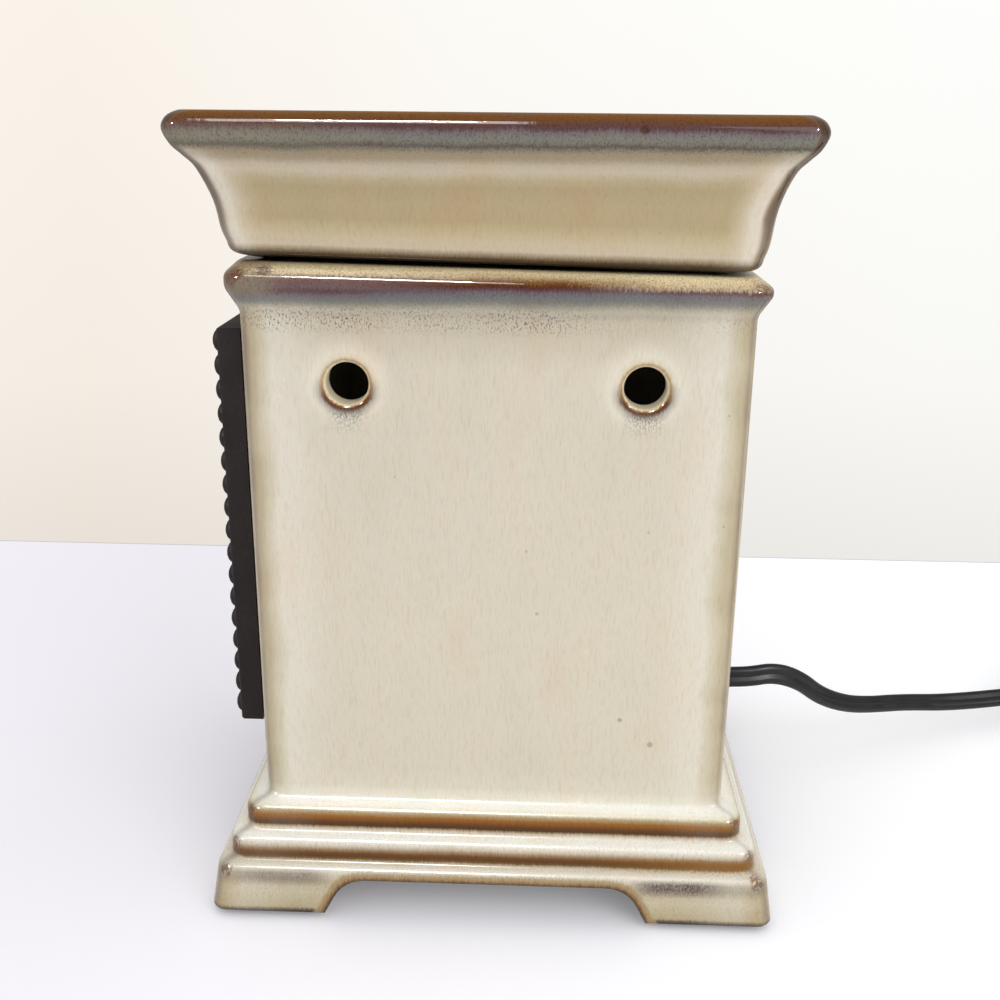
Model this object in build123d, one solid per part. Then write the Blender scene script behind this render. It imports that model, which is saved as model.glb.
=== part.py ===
from build123d import *
import math
import os

# Square ceramic wax melt warmer: a lift-off wax dish on a stepped housing, a bulb inside that heats it,
# a plaque held to the front by magnets, and a mains cord with a switch and a plug.
# Millimetres, +Z up. The plaque faces -Y and the cord leaves the back at +Y.
# The origin is on the table, under the middle of the housing.

overrun = 1.0  # how far every cutting tool runs past the face it cuts

# Housing: slip-cast ceramic, square, with a rolled rim and a stepped base on four feet
body_half = 53.6
body_corner = 4.5
wall = 5.0
housing_top = 149.0
rim_height = 8.8
rim_overhang = 2.4
rim_corner = 5.5
rim_steps = 9
# The rim's outline, as shares of its height and of its overhang
rim_shares = [(0.0, 0.0), (0.25, 0.28), (0.50, 0.80), (0.70, 1.0), (0.88, 0.75), (1.0, -0.05)]
mouth_in = 1.4
mouth_corner = 4.0
mouth_lip = 5.0
mouth_round = 1.2
upper_step_top = 25.4
upper_step_out = 4.2
lower_step_top = 19.0
lower_step_out = 3.2
foot_top = 13.0
foot_out = 2.6
foot_flare = 1.0
ledge_fall = 0.5
ledge_round_share = 0.60
ledge_cove_share = 0.30
ledge_facets = 2
pad_thick = 1.2
pad_size = 19.0
pad_corner = 3.0
pad_inset = 3.6
foot_edge_round = 1.0
arch_top = 11.0
arch_half = 33.4
arch_spread = 5.2
arch_round = 6.0
floor_thick = 5.5
floor_hole_r = 31.0
foot_wall = 9.1
foot_arch_wall = 10.1
foot_hollow_floor = 7.2
vent_r = 4.5
vent_lip = 0.7
vent_spread = 31.1
vent_height = 124.5
cord_height = 32.6
cord_hole_r = 4.5

# Wax dish: square ogee bowl with a locating ring that drops into the housing's mouth
dish_height = 29.5
dish_rim_half = 63.0
dish_rim_corner = 6.0
dish_land = 3.6
dish_foot_corner = 4.5
dish_floor = 5.8
dish_ring_fit = 0.8
dish_ring_deep = 3.8
dish_ring_wide = 5.0
dish_ring_round = 0.8
# The outside, as shares of the dish's height and of the step from foot to rim
dish_outer_shares = [(0.0, 0.0), (0.055, 0.20), (0.22, 0.335), (0.42, 0.43),
                     (0.63, 0.675), (0.78, 0.905), (0.885, 1.0), (0.965, 0.925), (1.0, 0.74)]
# The inside, as shares of the height above the floor and of the step from floor to rim edge
dish_inner_shares = [(0.0, 0.0), (0.05, 0.17), (0.20, 0.30), (0.42, 0.42), (0.64, 0.66),
                     (0.86, 0.93), (1.0, 1.0)]
dish_outer_steps = 11
dish_inner_steps = 8
dish_wall_low = 5.2
dish_wall_high = 6.0
dish_bowl_corner = 5.0

# Plaque on the front: a beaded frame, a bare panel and a backing, pulled on by magnets
plaque_wide = 80.0
plaque_tall = 95.5
plaque_bottom = 38.0
plaque_depth = 8.2
backing_thick = 2.8
backing_inset = 0.9
frame_border = 10.6
frame_edge_round = 0.8
frame_bevel = 2.4
panel_thick = 1.8
panel_overlap = 1.6
panel_sink = 2.2
panel_fit = 0.2
panel_line_inset = 6.0
panel_line_wide = 1.6
panel_line_high = 0.8
bead_r = 2.6
bead_sunk = 0.6
bead_high = 1.4
bead_sides = 6
# A bead's outline, as shares of its height above the frame and of its radius
bead_shares = [(0.6, 0.8), (1.0, 0.35)]
bead_inset = 3.3
bead_pitch = 5.55
magnet_r = 6.0
magnet_thick = 2.0
magnet_fit = 0.1
magnet_spread = 26.0
magnet_rise = 30.0

# Lamp mount: a steel strap over the hole in the floor and a vented cover under it,
# drawn together by a threaded tube and a nut
strap_thick = 1.2
strap_wide = 17.0
strap_rise = 5.0
strap_top_half = 22.0
strap_ramp = 7.0
strap_foot = 10.0
tube_r = 4.8
tube_bore_r = 3.3
tube_fit = 0.15
tube_stub = 0.6
cover_lap = 5.5
cover_thick = 1.0
cover_hole_r = 2.4
cover_hole_ring = 21.0
cover_hole_count = 8
cover_rib_r = 29.0
cover_rib_wide = 2.0
cover_rib_high = 0.8
nut_flats = 14.2
nut_thick = 3.0

# Lamp holder: moulded, small screw base, with side terminals
holder_r = 12.4
holder_height = 27.0
holder_base = 11.0
holder_edge_round = 1.2
holder_well_r = 7.6
shell_wall = 0.5
shell_lip = 0.6
shell_fit = 0.3
contact_thick = 0.8
contact_r = 3.2
lug_out = 5.2
lug_wide = 9.0
lug_low = 4.5
lug_high = 17.0
terminal_wide = 5.0
terminal_thick = 0.9
terminal_screw_r = 2.3
terminal_screw_thick = 1.5
terminal_screw_low = 3.2
lead_from_top = 2.9

# Bulb: a 50 mm globe on a small screw cap
bulb_cap_r = 5.9
bulb_cap_long = 15.0
bulb_skirt_r = 6.6
bulb_skirt_long = 2.4
cap_wall = 0.4
insulator_long = 2.4
insulator_tip_r = 2.6
tip_r = 2.1
tip_long = 0.8
tip_gap = 0.3
globe_r = 25.0
globe_wall = 0.8
globe_neck_r = 6.0
globe_neck_rise = 7.0
globe_blend = 16.0
globe_blend_steps = 3
glass_fit = 0.1
stem_r = 3.4
stem_flare_r = 4.9
stem_flare_long = 3.0
stem_long = 26.0
stem_post_r = 1.1
stem_post_long = 9.0
wire_r = 0.35
filament_half = 8.0
filament_rise = 6.0
filament_r = 0.5

# Cord parts: flat twin cord, drawn here as a six-sided tube as wide as the cord
cord_wide = 5.6
tube_sides = 6
lead_r = 1.2
lead_apart = 2.9
bush_inside = 10.6
bush_outside = 7.5
bush_r = 4.3
bush_flange_r = 5.6
bush_flange_thick = 1.7
bush_end_r = 3.4

# Switch on the cord: two shells round a thumb wheel
switch_turn = 18.0
switch_long = 60.0
switch_wheel_room = 4.0
switch_thick = 17.0
switch_end_wide = 14.0
switch_round = 2.4
switch_end_round = 3.0
wheel_r = 11.0
wheel_thick = 4.4
wheel_gap = 0.5
wheel_show = 2.6
wheel_ridges = 28
wheel_ridge_deep = 0.9
wheel_pin_r = 2.2
wheel_pin_fit = 0.06
switch_screw_r = 1.5
switch_screw_head_r = 2.8
switch_screw_head_thick = 1.6
switch_screw_sink = 0.6
switch_screw_long = 11.0
switch_screw_spread = 20.0
contact_long = 9.0
contact_wide = 2.4
contact_high = 1.2
contact_off = 10.0

# Coil of put-away cord: turns wind in on the table and out again on top
coil_turns_per_layer = 3
coil_gap = 0.75
coil_inner_r = 20.6
coil_place = (-30.0, 284.0)
coil_lift = 1.0
tie_wide = 9.0
tie_thick = 0.6
tie_fit = 0.3
tie_round = 2.6

# Plug: flat two-blade plug with a tapered neck
plug_place = (11.5, 250.0)
plug_turn = 6.0
plug_long = 26.0
plug_wide = 22.0
plug_thick = 12.4
plug_neck_long = 13.0
plug_neck_r = 4.2
plug_round = 3.0
blade_long = 17.5
blade_thick = 1.5
blade_narrow = 6.35
blade_broad = 7.9
blade_apart = 12.7
blade_hole_r = 1.6
blade_hole_from_tip = 4.5

# Points that the cord's free stretches turn at, from the bushing's mouth to the switch
route_rear = [(0.0, 61.1, 32.6), (0.0, 67.0, 32.6), (-2.2, 74.8, 33.2), (-5.4, 82.6, 29.6),
              (-10.0, 90.0, 22.4), (-14.8, 98.6, 17.6), (-20.3, 107.4, 14.6), (-26.1, 119.0, 12.7),
              (-32.4, 134.0, 9.6), (-39.52, 156.21, 8.5), (-44.0, 170.0, 8.5)]
route_middle_bend = (-69.0, 252.5, 5.2)

# Sizes worked out from the ones above
cord_r = cord_wide / 2
lug_half = holder_r + lug_out
switch_wide = 2 * wheel_r + switch_wheel_room
coil_pitch = cord_wide + coil_gap
upper_step_half = body_half + upper_step_out
lower_step_half = upper_step_half + lower_step_out
foot_half = lower_step_half + foot_out
foot_bottom_half = foot_half + foot_flare
floor_bottom = arch_top
floor_top = floor_bottom + floor_thick
inner_half = body_half - wall
mouth_half = inner_half - mouth_in
foot_hollow_half = foot_half - foot_wall
foot_hollow_in = arch_half + foot_arch_wall
dish_foot_half = mouth_half + dish_land
dish_bowl_floor_half = dish_foot_half - dish_wall_low
dish_bowl_rim_half = dish_rim_half - dish_wall_high
strap_half = floor_hole_r + strap_foot
cover_r = floor_hole_r + cover_lap
rim_bottom = housing_top - rim_height
plaque_middle = plaque_bottom + plaque_tall / 2
plaque_face = body_half + plaque_depth
frame_back = body_half + backing_thick
strap_bottom = floor_top + strap_rise
holder_bottom = strap_bottom + strap_thick
contact_top = holder_bottom + holder_base + contact_thick
tip_bottom = contact_top + tip_gap
cap_bottom = tip_bottom + tip_long + insulator_long
cap_top = cap_bottom + bulb_cap_long
skirt_top = cap_top + bulb_skirt_long
globe_middle = skirt_top + globe_neck_rise + math.sqrt(globe_r**2 - globe_blend**2)
bush_inner_end = inner_half - bush_inside
bush_outer_end = body_half + bush_outside
made = {}


def square(half, corner, height):
    """A rounded square face, level at the given height."""
    return Plane.XY.offset(height) * RectangleRounded(2 * half, 2 * half, corner)


def slab(half, corner, low, high):
    """A rounded square block between two heights."""
    return extrude(square(half, corner, low), amount=high - low)


def lofted(levels):
    """A square form through (height, half width, corner radius) levels."""
    return loft([square(half, corner, height) for height, half, corner in levels], ruled=True)


def smoothed(shares, steps):
    """Points along the smooth curve through a table of shares."""
    curve = Spline(*shares)
    return [tuple(curve @ (i / steps))[:2] for i in range(steps + 1)]


def rod(radius, start, end):
    """A round bar between two points."""
    line = Vector(*end) - Vector(*start)
    return extrude(Plane(origin=start, z_dir=line) * Circle(radius), amount=line.length)


def four_ways(place):
    """The four places that one place in a corner repeats at."""
    x, y = place
    return [(x, y), (-x, y), (-x, -y), (x, -y)]


def keep(name, shape, color):
    """Names a sub-part and remembers it for the export."""
    shape.label = name
    shape.color = Color(color)
    made[name] = shape
    return shape


def level_edges(shape, height):
    """The edges that lie at one height."""
    near = overrun / 100
    return shape.edges().filter_by_position(Axis.Z, height - near, height + near)


# Housing
def base_levels():
    """Heights and half widths up the stepped base, with each step's edge and cove rounded."""
    outline = [(foot_bottom_half, pad_thick)]
    radii = []
    for height, inner, ledge in ((foot_top, lower_step_half, foot_out),
                                 (lower_step_top, upper_step_half, lower_step_out),
                                 (upper_step_top, body_half, upper_step_out)):
        outline += [(inner + ledge, height - ledge_fall), (inner, height)]
        radii += [ledge * ledge_round_share, ledge * ledge_cove_share]
    outline.append((body_half, rim_bottom))
    path = FilletPolyline(*outline, radius=radii)
    points = [outline[0]]
    for edge in path.edges().filter_by(GeomType.CIRCLE):
        points += [tuple(edge @ (i / ledge_facets))[:2] for i in range(ledge_facets + 1)]
    return sorted((height, half, body_corner) for half, height in points)


def rim_levels():
    """The rim flares from the body, rolls over and ends in a flat land."""
    return [(rim_bottom + up * rim_height, body_half + out * rim_overhang,
             body_corner + up * (rim_corner - body_corner)) for up, out in smoothed(rim_shares, rim_steps)]


def at_half(edge, half):
    """Whether an edge runs along the sides or corners of a square of this half width."""
    middle = edge @ 0.5
    reach = max(abs(middle.X), abs(middle.Y))
    return half - mouth_corner / 2 < reach < half + overrun / 100


def arch():
    """The outline of the arch between two feet, cut from below."""
    low = pad_thick - overrun
    foot_spread = arch_half + arch_spread * (arch_top - low) / arch_top
    outline = make_face(Polyline((-foot_spread, low), (-arch_half, arch_top), (arch_half, arch_top),
                                 (foot_spread, low), close=True))
    return fillet(outline.vertices().group_by(Axis.Y)[-1], arch_round)


def housing():
    """The whole casting: steps, rim, arches, feet, inside, vents, cord hole and magnet pockets."""
    shape = lofted(base_levels() + rim_levels())
    for plane in (Plane.XZ, Plane.YZ):
        shape -= extrude(plane * arch(), amount=foot_bottom_half + overrun, both=True)
    shape = chamfer(level_edges(shape, pad_thick), foot_edge_round)
    shape -= slab(inner_half, body_corner, floor_top, housing_top - mouth_lip)
    shape -= slab(mouth_half, mouth_corner, floor_top, housing_top + overrun)
    mouth = level_edges(shape, housing_top).filter_by(lambda edge: at_half(edge, mouth_half))
    shape = chamfer(mouth, mouth_round)
    shape -= rod(floor_hole_r, (0, 0, floor_bottom - overrun), (0, 0, floor_top + overrun))
    hollow = foot_hollow_half - foot_hollow_in
    for place in four_ways((foot_hollow_in + hollow / 2, foot_hollow_in + hollow / 2)):
        shape -= extrude(Pos(*place, foot_hollow_floor) * Rectangle(hollow, hollow),
                         amount=floor_top - foot_hollow_floor)
    for side in (-vent_spread, vent_spread):
        reach = body_half + overrun
        shape -= rod(vent_r, (-reach, side, vent_height), (reach, side, vent_height))
        for way in (-1, 1):
            lip = Plane(origin=(way * (body_half - vent_lip), side, vent_height), z_dir=(way, 0, 0))
            shape -= lip * Cone(vent_r, vent_r + vent_lip + overrun, vent_lip + overrun,
                                align=(Align.CENTER, Align.CENTER, Align.MIN))
    shape -= rod(cord_hole_r, (0, inner_half - overrun, cord_height),
                 (0, body_half + overrun, cord_height))
    for x, rise in four_ways((magnet_spread, magnet_rise)):
        z = plaque_middle + rise
        shape -= rod(magnet_r + magnet_fit, (x, -inner_half + overrun, z),
                     (x, -inner_half - magnet_thick, z))
    return shape


keep("ceramic_housing", housing(), "antiquewhite")
pad_middle = foot_bottom_half - pad_inset - pad_size / 2
pad_corners = ("back_right", "back_left", "front_left", "front_right")
for corner, place in zip(pad_corners, four_ways((pad_middle, pad_middle))):
    pad = Pos(*place) * RectangleRounded(pad_size, pad_size, pad_corner)
    keep("foot_pad_" + corner, extrude(pad, amount=pad_thick), "black")


def magnets(depth_low, depth_high):
    """Four disc magnets between two depths behind the plaque."""
    return Compound(children=[rod(magnet_r, (x, -depth_high, plaque_middle + rise),
                                  (x, -depth_low, plaque_middle + rise))
                              for x, rise in four_ways((magnet_spread, magnet_rise))])


keep("housing_magnets", magnets(inner_half, inner_half + magnet_thick), "silver")


# Wax dish
def wax_dish():
    """The ogee bowl, its locating ring and the space for the wax."""
    step = dish_rim_half - dish_foot_half
    corner_step = dish_rim_corner - dish_foot_corner
    dish = lofted([(housing_top + up * dish_height, dish_foot_half + out * step,
                    dish_foot_corner + out * corner_step)
                   for up, out in smoothed(dish_outer_shares, dish_outer_steps)])
    bowl_deep = dish_height - dish_floor
    bowl_step = dish_bowl_rim_half - dish_bowl_floor_half
    bowl = lofted([(housing_top + dish_floor + up * bowl_deep, dish_bowl_floor_half + out * bowl_step,
                    dish_bowl_corner) for up, out in smoothed(dish_inner_shares, dish_inner_steps)])
    dish -= bowl
    ring_half = mouth_half - dish_ring_fit
    ring = slab(ring_half, mouth_corner, housing_top - dish_ring_deep, housing_top)
    ring -= slab(ring_half - dish_ring_wide, mouth_corner,
                 housing_top - dish_ring_deep - overrun, housing_top)
    ring = chamfer(level_edges(ring, housing_top - dish_ring_deep), dish_ring_round)
    return dish + ring


keep("wax_dish", wax_dish(), "wheat")


# Plaque
def upright(wide, tall, depth_low, depth_high):
    """A block that stands in the plaque, between two depths in front of the housing's middle."""
    return extrude(Plane(origin=(0, -depth_low, plaque_middle), x_dir=(1, 0, 0), z_dir=(0, -1, 0))
                   * Rectangle(wide, tall), amount=depth_high - depth_low)


def spaced(span, pitch):
    """Even places along a span, as near to the pitch as they come out."""
    count = round(span / pitch)
    return [span * (i / count - 0.5) for i in range(count + 1)]


def plaque_frame():
    """The border: a rebate for the panel, a bevel round the window and a row of beads."""
    frame = upright(plaque_wide, plaque_tall, frame_back, plaque_face)
    window_wide = plaque_wide - 2 * frame_border
    window_tall = plaque_tall - 2 * frame_border
    panel_front = plaque_face - panel_sink
    rebate = 2 * panel_overlap
    frame -= upright(window_wide + rebate, window_tall + rebate, frame_back - overrun, panel_front)
    frame -= upright(window_wide, window_tall, frame_back - overrun, plaque_face + overrun)
    face_edges = frame.edges().group_by(Axis.Y)[0].sort_by(lambda edge: edge.length)
    frame = chamfer(face_edges[:4], frame_bevel / 2)
    outside = frame.edges().group_by(Axis.Y)[0].sort_by(lambda edge: edge.length)[-4:]
    frame = fillet(outside, frame_edge_round)
    half_wide = plaque_wide / 2 - bead_inset
    half_tall = plaque_tall / 2 - bead_inset
    places = [(x, z) for x in spaced(2 * half_wide, bead_pitch) for z in (-half_tall, half_tall)]
    places += [(x, z) for z in spaced(2 * half_tall, bead_pitch)[1:-1] for x in (-half_wide, half_wide)]
    return frame + [Pos(x, -plaque_face, plaque_middle + z) * bead() for x, z in places]


def bead():
    """One bead of the border, a round dome in flat facets, with its root in the frame."""
    levels = [(-bead_sunk, bead_r)] + [(bead_high * up, bead_r * out) for up, out in bead_shares]
    return loft([Plane.XZ.offset(rise) * RegularPolygon(radius, bead_sides) for rise, radius in levels],
                ruled=True)


def plaque_panel():
    """The bare panel with one raised line round it, held between the frame and the backing."""
    wide = plaque_wide - 2 * frame_border
    tall = plaque_tall - 2 * frame_border
    front = plaque_face - panel_sink
    room = 2 * (panel_overlap - panel_fit)
    panel = upright(wide + room, tall + room, front - panel_thick, front)
    inset = 2 * panel_line_inset
    line = upright(wide - inset, tall - inset, front, front + panel_line_high)
    inner = inset + 2 * panel_line_wide
    line -= upright(wide - inner, tall - inner, front - overrun, front + panel_line_high + overrun)
    return panel + line


def plaque_backing():
    """The darker sheet behind the frame, with pockets for its magnets and a block behind the panel."""
    inset = 2 * backing_inset
    back = upright(plaque_wide - inset, plaque_tall - inset, body_half, frame_back)
    wide = plaque_wide - 2 * frame_border
    tall = plaque_tall - 2 * frame_border
    back += upright(wide, tall, frame_back, plaque_face - panel_sink - panel_thick)
    for x, rise in four_ways((magnet_spread, magnet_rise)):
        z = plaque_middle + rise
        back -= rod(magnet_r + magnet_fit, (x, -body_half + overrun, z),
                    (x, -body_half - magnet_thick, z))
    return back


keep("plaque_frame", plaque_frame(), "dimgray")
keep("plaque_panel", plaque_panel(), "gray")
keep("plaque_backing", plaque_backing(), "saddlebrown")
keep("plaque_magnets", magnets(body_half, body_half + magnet_thick), "silver")


# Lamp mount
def lamp_strap():
    """A bent strap with two feet on the floor and a raised middle that carries the holder."""
    knee = strap_top_half + strap_ramp
    path = [(-strap_half, floor_top), (-knee, floor_top), (-strap_top_half, strap_bottom),
            (strap_top_half, strap_bottom), (knee, floor_top), (strap_half, floor_top)]
    over = [(x, z + strap_thick) for x, z in reversed(path)]
    side = make_face(Polyline(*path, *over, close=True))
    strap = extrude(Plane.XZ * side, amount=strap_wide / 2, both=True)
    return strap - rod(tube_r + tube_fit, (0, 0, floor_top), (0, 0, holder_bottom + overrun))


def bottom_cover():
    """A pressed steel disc under the floor, with a ring of air holes and a stiffening rib."""
    low = floor_bottom - cover_thick
    cover = rod(cover_r, (0, 0, low), (0, 0, floor_bottom))
    rib_r = cover_rib_r - cover_rib_wide
    rib = rod(cover_rib_r, (0, 0, low - cover_rib_high), (0, 0, low))
    cover += rib - rod(rib_r, (0, 0, low - cover_rib_high - overrun), (0, 0, low))
    cover -= rod(tube_r + tube_fit, (0, 0, low - overrun), (0, 0, floor_bottom + overrun))
    for turn in range(cover_hole_count):
        angle = math.tau * turn / cover_hole_count
        x = cover_hole_ring * math.cos(angle)
        y = cover_hole_ring * math.sin(angle)
        cover -= rod(cover_hole_r, (x, y, low - overrun), (x, y, floor_bottom + overrun))
    return cover


cover_bottom = floor_bottom - cover_thick
nut_bottom = cover_bottom - nut_thick
tube_bottom = nut_bottom - tube_stub
tube_top = holder_bottom + holder_base / 2
keep("lamp_strap", lamp_strap(), "lightsteelblue")
keep("bottom_cover", bottom_cover(), "lightgray")
keep("threaded_tube",
     rod(tube_r, (0, 0, tube_bottom), (0, 0, tube_top))
     - rod(tube_bore_r, (0, 0, tube_bottom - overrun), (0, 0, tube_top + overrun)), "gold")
keep("tube_nut",
     extrude(Pos(0, 0, nut_bottom) * RegularPolygon(nut_flats / 2, 6, major_radius=False), amount=nut_thick)
     - rod(tube_r, (0, 0, nut_bottom - overrun), (0, 0, cover_bottom + overrun)), "gold")


# Lamp holder
shell_inner_r = bulb_cap_r + shell_fit
shell_outer_r = shell_inner_r + shell_wall
holder_top = holder_bottom + holder_height
well_floor = holder_bottom + holder_base
terminal_middle = (holder_r + lug_half) / 2


def lamp_holder():
    """The moulded body: a deep well, a lug on each side for the terminals and a seat for the tube."""
    body = rod(holder_r, (0, 0, holder_bottom), (0, 0, holder_top))
    body = chamfer(body.edges().group_by(Axis.Z)[-1], holder_edge_round)
    lug_middle = holder_bottom + (lug_low + lug_high) / 2
    lug = Pos(0, 0, lug_middle) * Box(2 * lug_half, lug_wide, lug_high - lug_low)
    body += chamfer(lug.edges().filter_by(Axis.Z), holder_edge_round)
    body -= rod(holder_well_r, (0, 0, well_floor), (0, 0, holder_top + overrun))
    return body - rod(tube_r + tube_fit, (0, 0, holder_bottom - overrun), (0, 0, tube_top))


keep("lamp_holder", lamp_holder(), "darkslategray")
shell_bottom = well_floor + contact_thick * 2
keep("holder_screw_shell",
     rod(shell_outer_r, (0, 0, shell_bottom), (0, 0, holder_top - holder_edge_round))
     + rod(holder_well_r, (0, 0, shell_bottom), (0, 0, shell_bottom + shell_lip))
     - rod(shell_inner_r, (0, 0, shell_bottom - overrun), (0, 0, holder_top)), "goldenrod")
keep("holder_contact", rod(contact_r, (0, 0, well_floor), (0, 0, contact_top)), "gold")


def terminals():
    """A brass plate on each lug, and the screw in each."""
    front = lug_wide / 2
    low = holder_bottom + lug_low
    plates = []
    screws = []
    for side in (-1, 1):
        x = side * terminal_middle
        plate = Box(terminal_wide, terminal_thick, lug_high - lug_low,
                    align=(Align.CENTER, Align.MIN, Align.MIN))
        plates.append(Pos(x, front, low) * plate)
        face = front + terminal_thick
        z = low + terminal_screw_low
        screws.append(rod(terminal_screw_r, (x, face, z), (x, face + terminal_screw_thick, z)))
    return Compound(children=plates), Compound(children=screws)


plates, screws = terminals()
keep("holder_terminals", plates, "gold")
keep("terminal_screws", screws, "silver")


# Bulb
def turned(points):
    """A solid turned about the lamp's axis from an outline of (radius, height) points."""
    return revolve(Plane.XZ * make_face(Polyline(*points, close=True)), Axis.Z)


def globe_outline(radius, neck_r, low):
    """Half the globe: straight neck, a reverse curve into the ball and the ball up to its top."""
    join_height = globe_middle - math.sqrt(globe_r**2 - globe_blend**2)
    share = radius / globe_r
    join = (globe_blend * share, globe_middle + (join_height - globe_middle) * share)
    neck_top = (neck_r, skirt_top)
    neck = Line((neck_r, low), neck_top)
    curve = TangentArc(neck_top, join, tangent=(0, 1))
    blend = Polyline(*[curve @ (i / globe_blend_steps) for i in range(globe_blend_steps + 1)])
    ball = ThreePointArc(join, (radius, globe_middle), (0, globe_middle + radius))
    return neck, blend, ball


def bulb_globe():
    """The blown glass, open at the neck and 0.8 thick."""
    low = cap_top - bulb_cap_long / 3
    outer = globe_outline(globe_r, globe_neck_r - cap_wall - glass_fit, low)
    inner = globe_outline(globe_r - globe_wall, globe_neck_r - cap_wall - glass_fit - globe_wall, low)
    outer_solid = closed_turn(outer, low)
    inner_solid = closed_turn(inner, low)
    return outer_solid - inner_solid


def closed_turn(edges, low):
    """The full solid turned from a half outline that starts at the neck's foot and ends on the axis."""
    top = edges[-1] @ 1
    start = edges[0] @ 0
    outline = [edge for curve in edges for edge in curve.edges()]
    outline += [Line(top, (0, low)), Line((0, low), start)]
    return revolve(Plane.XZ * make_face(outline), Axis.Z)


def bulb_cap():
    """The brass cap: threaded part drawn plain, with a wider skirt."""
    outside = [(0, cap_bottom), (bulb_cap_r, cap_bottom), (bulb_cap_r, cap_top), (bulb_skirt_r, cap_top),
               (bulb_skirt_r, skirt_top), (0, skirt_top)]
    cap = turned(outside)
    inside_r = globe_neck_r - cap_wall
    return cap - rod(inside_r, (0, 0, cap_bottom + cap_wall), (0, 0, skirt_top + overrun))


insulator_bottom = tip_bottom + tip_long
stem_bottom = cap_top - bulb_cap_long / 3
stem_top = stem_bottom + stem_long
filament_height = stem_top + stem_post_long


def glass_stem():
    """The glass stem: a flare at the neck, a tube and a thin post that holds the support wires."""
    return turned([(0, stem_bottom), (stem_flare_r - globe_wall, stem_bottom),
                   (stem_r, stem_bottom + stem_flare_long), (stem_r, stem_top - stem_flare_long),
                   (stem_post_r, stem_top), (stem_post_r, filament_height), (0, filament_height)])


def filament():
    """The coil of tungsten as a thin zigzag bar, carried by two lead wires and a hook on the post."""
    wire = rod(wire_r, (-stem_post_r * 2, 0, stem_top - stem_flare_long),
               (-filament_half, 0, filament_height + filament_rise / 2))
    wire += rod(wire_r, (stem_post_r * 2, 0, stem_top - stem_flare_long),
                (filament_half, 0, filament_height + filament_rise / 2))
    return wire + filament_bar()


def filament_bar():
    """The lit bar between the tops of the two lead wires."""
    z = filament_height + filament_rise / 2
    return rod(filament_r, (-filament_half - wire_r, 0, z), (filament_half + wire_r, 0, z))


keep("bulb_globe", bulb_globe(), "lightcyan")
keep("bulb_cap", bulb_cap(), "goldenrod")
keep("bulb_insulator", turned([(0, insulator_bottom), (insulator_tip_r, insulator_bottom),
                               (bulb_cap_r - cap_wall, cap_bottom), (0, cap_bottom)]), "black")
keep("bulb_tip", rod(tip_r, (0, 0, tip_bottom), (0, 0, insulator_bottom)), "silver")
keep("bulb_stem", glass_stem(), "lightblue")
keep("bulb_filament", filament(), "orange")


# Cord, from the bushing to the plug
def along_y(points, height=cord_height):
    """A solid turned about the bushing's axis from (radius, y) points."""
    side = make_face(Polyline(*points, close=True))
    return Pos(0, 0, height) * revolve(Plane.XY * side, Axis.Y)


keep("cord_bushing", along_y([
    (0, bush_inner_end), (bush_end_r, bush_inner_end), (bush_r - cord_r / 4, inner_half - bush_flange_thick),
    (bush_flange_r, inner_half - bush_flange_thick), (bush_flange_r, inner_half), (bush_r, inner_half),
    (bush_r, body_half), (bush_flange_r, body_half), (bush_flange_r, body_half + bush_flange_thick),
    (bush_r, body_half + bush_flange_thick), (bush_end_r, bush_outer_end), (0, bush_outer_end)]), "dimgray")


def turn_radii(points):
    """The largest radius that each corner's two runs allow."""
    radii = []
    for before, here, after in zip(points, points[1:], points[2:]):
        first = Vector(*here) - Vector(*before)
        second = Vector(*after) - Vector(*here)
        half_turn = math.radians(first.get_angle(second)) / 2
        radii.append(0.45 * min(first.length, second.length) / math.tan(half_turn))
    return radii


def stretch(name, points, radius, color):
    """A tube along straight runs joined by arcs, with its radii and volume printed."""
    radii = turn_radii(points)
    path = FilletPolyline(*points, radius=radii)
    section = Plane(origin=path @ 0, z_dir=path % 0) * RegularPolygon(radius, tube_sides)
    tube = sweep(section, path=path)
    ratio = tube.volume / (section.area * path.length)
    print(name, "length", round(path.length, 1), "radii", [round(r, 1) for r in radii],
          "volume over section times length", round(ratio, 4))
    keep(name, tube, color)
    return path.length


for side, name in ((-1, "lead_left"), (1, "lead_right")):
    lead_end = lug_wide / 2 + terminal_thick
    lead_height = holder_bottom + lug_high - lead_from_top
    x = side * terminal_middle
    stretch(name, [(side * lead_apart / 2, bush_inner_end, cord_height),
                   (side * lead_apart / 2, bush_inner_end - 3 * lead_r, cord_height),
                   (side * (lead_apart / 2 + 2 * lead_r), bush_inner_end - 8 * lead_r, cord_height + lead_r),
                   (x, lead_end + 9 * lead_r, lead_height - lead_r / 2),
                   (x, lead_end + 5 * lead_r, lead_height),
                   (x, lead_end, lead_height)], lead_r, "dimgray")


# Switch on the cord
switch_way = Vector(0, 1, 0).rotate(Axis.Z, switch_turn)
switch_in = Vector(*route_rear[-1])
switch_out = switch_in + switch_way * switch_long
switch_seat = Pos(*((switch_in + switch_out) / 2)) * Rot(0, 0, switch_turn)
wheel_off = switch_wide / 2 - wheel_r + wheel_show
contact_side = wheel_off - wheel_r - wheel_gap - contact_wide / 2


def switch_outline():
    """The switch seen from above: round ends, wider in the middle where the wheel sits."""
    half = switch_long / 2
    end = switch_end_wide / 2
    middle = switch_wide / 2
    side = ThreePointArc((end, -half), (middle, 0), (end, half))
    far = Line((end, half), (-end, half))
    back = ThreePointArc((-end, half), (-middle, 0), (-end, -half))
    near = Line((-end, -half), (end, -half))
    outline = make_face([side, far, back, near])
    return fillet(outline.vertices(), switch_end_round)


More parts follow.
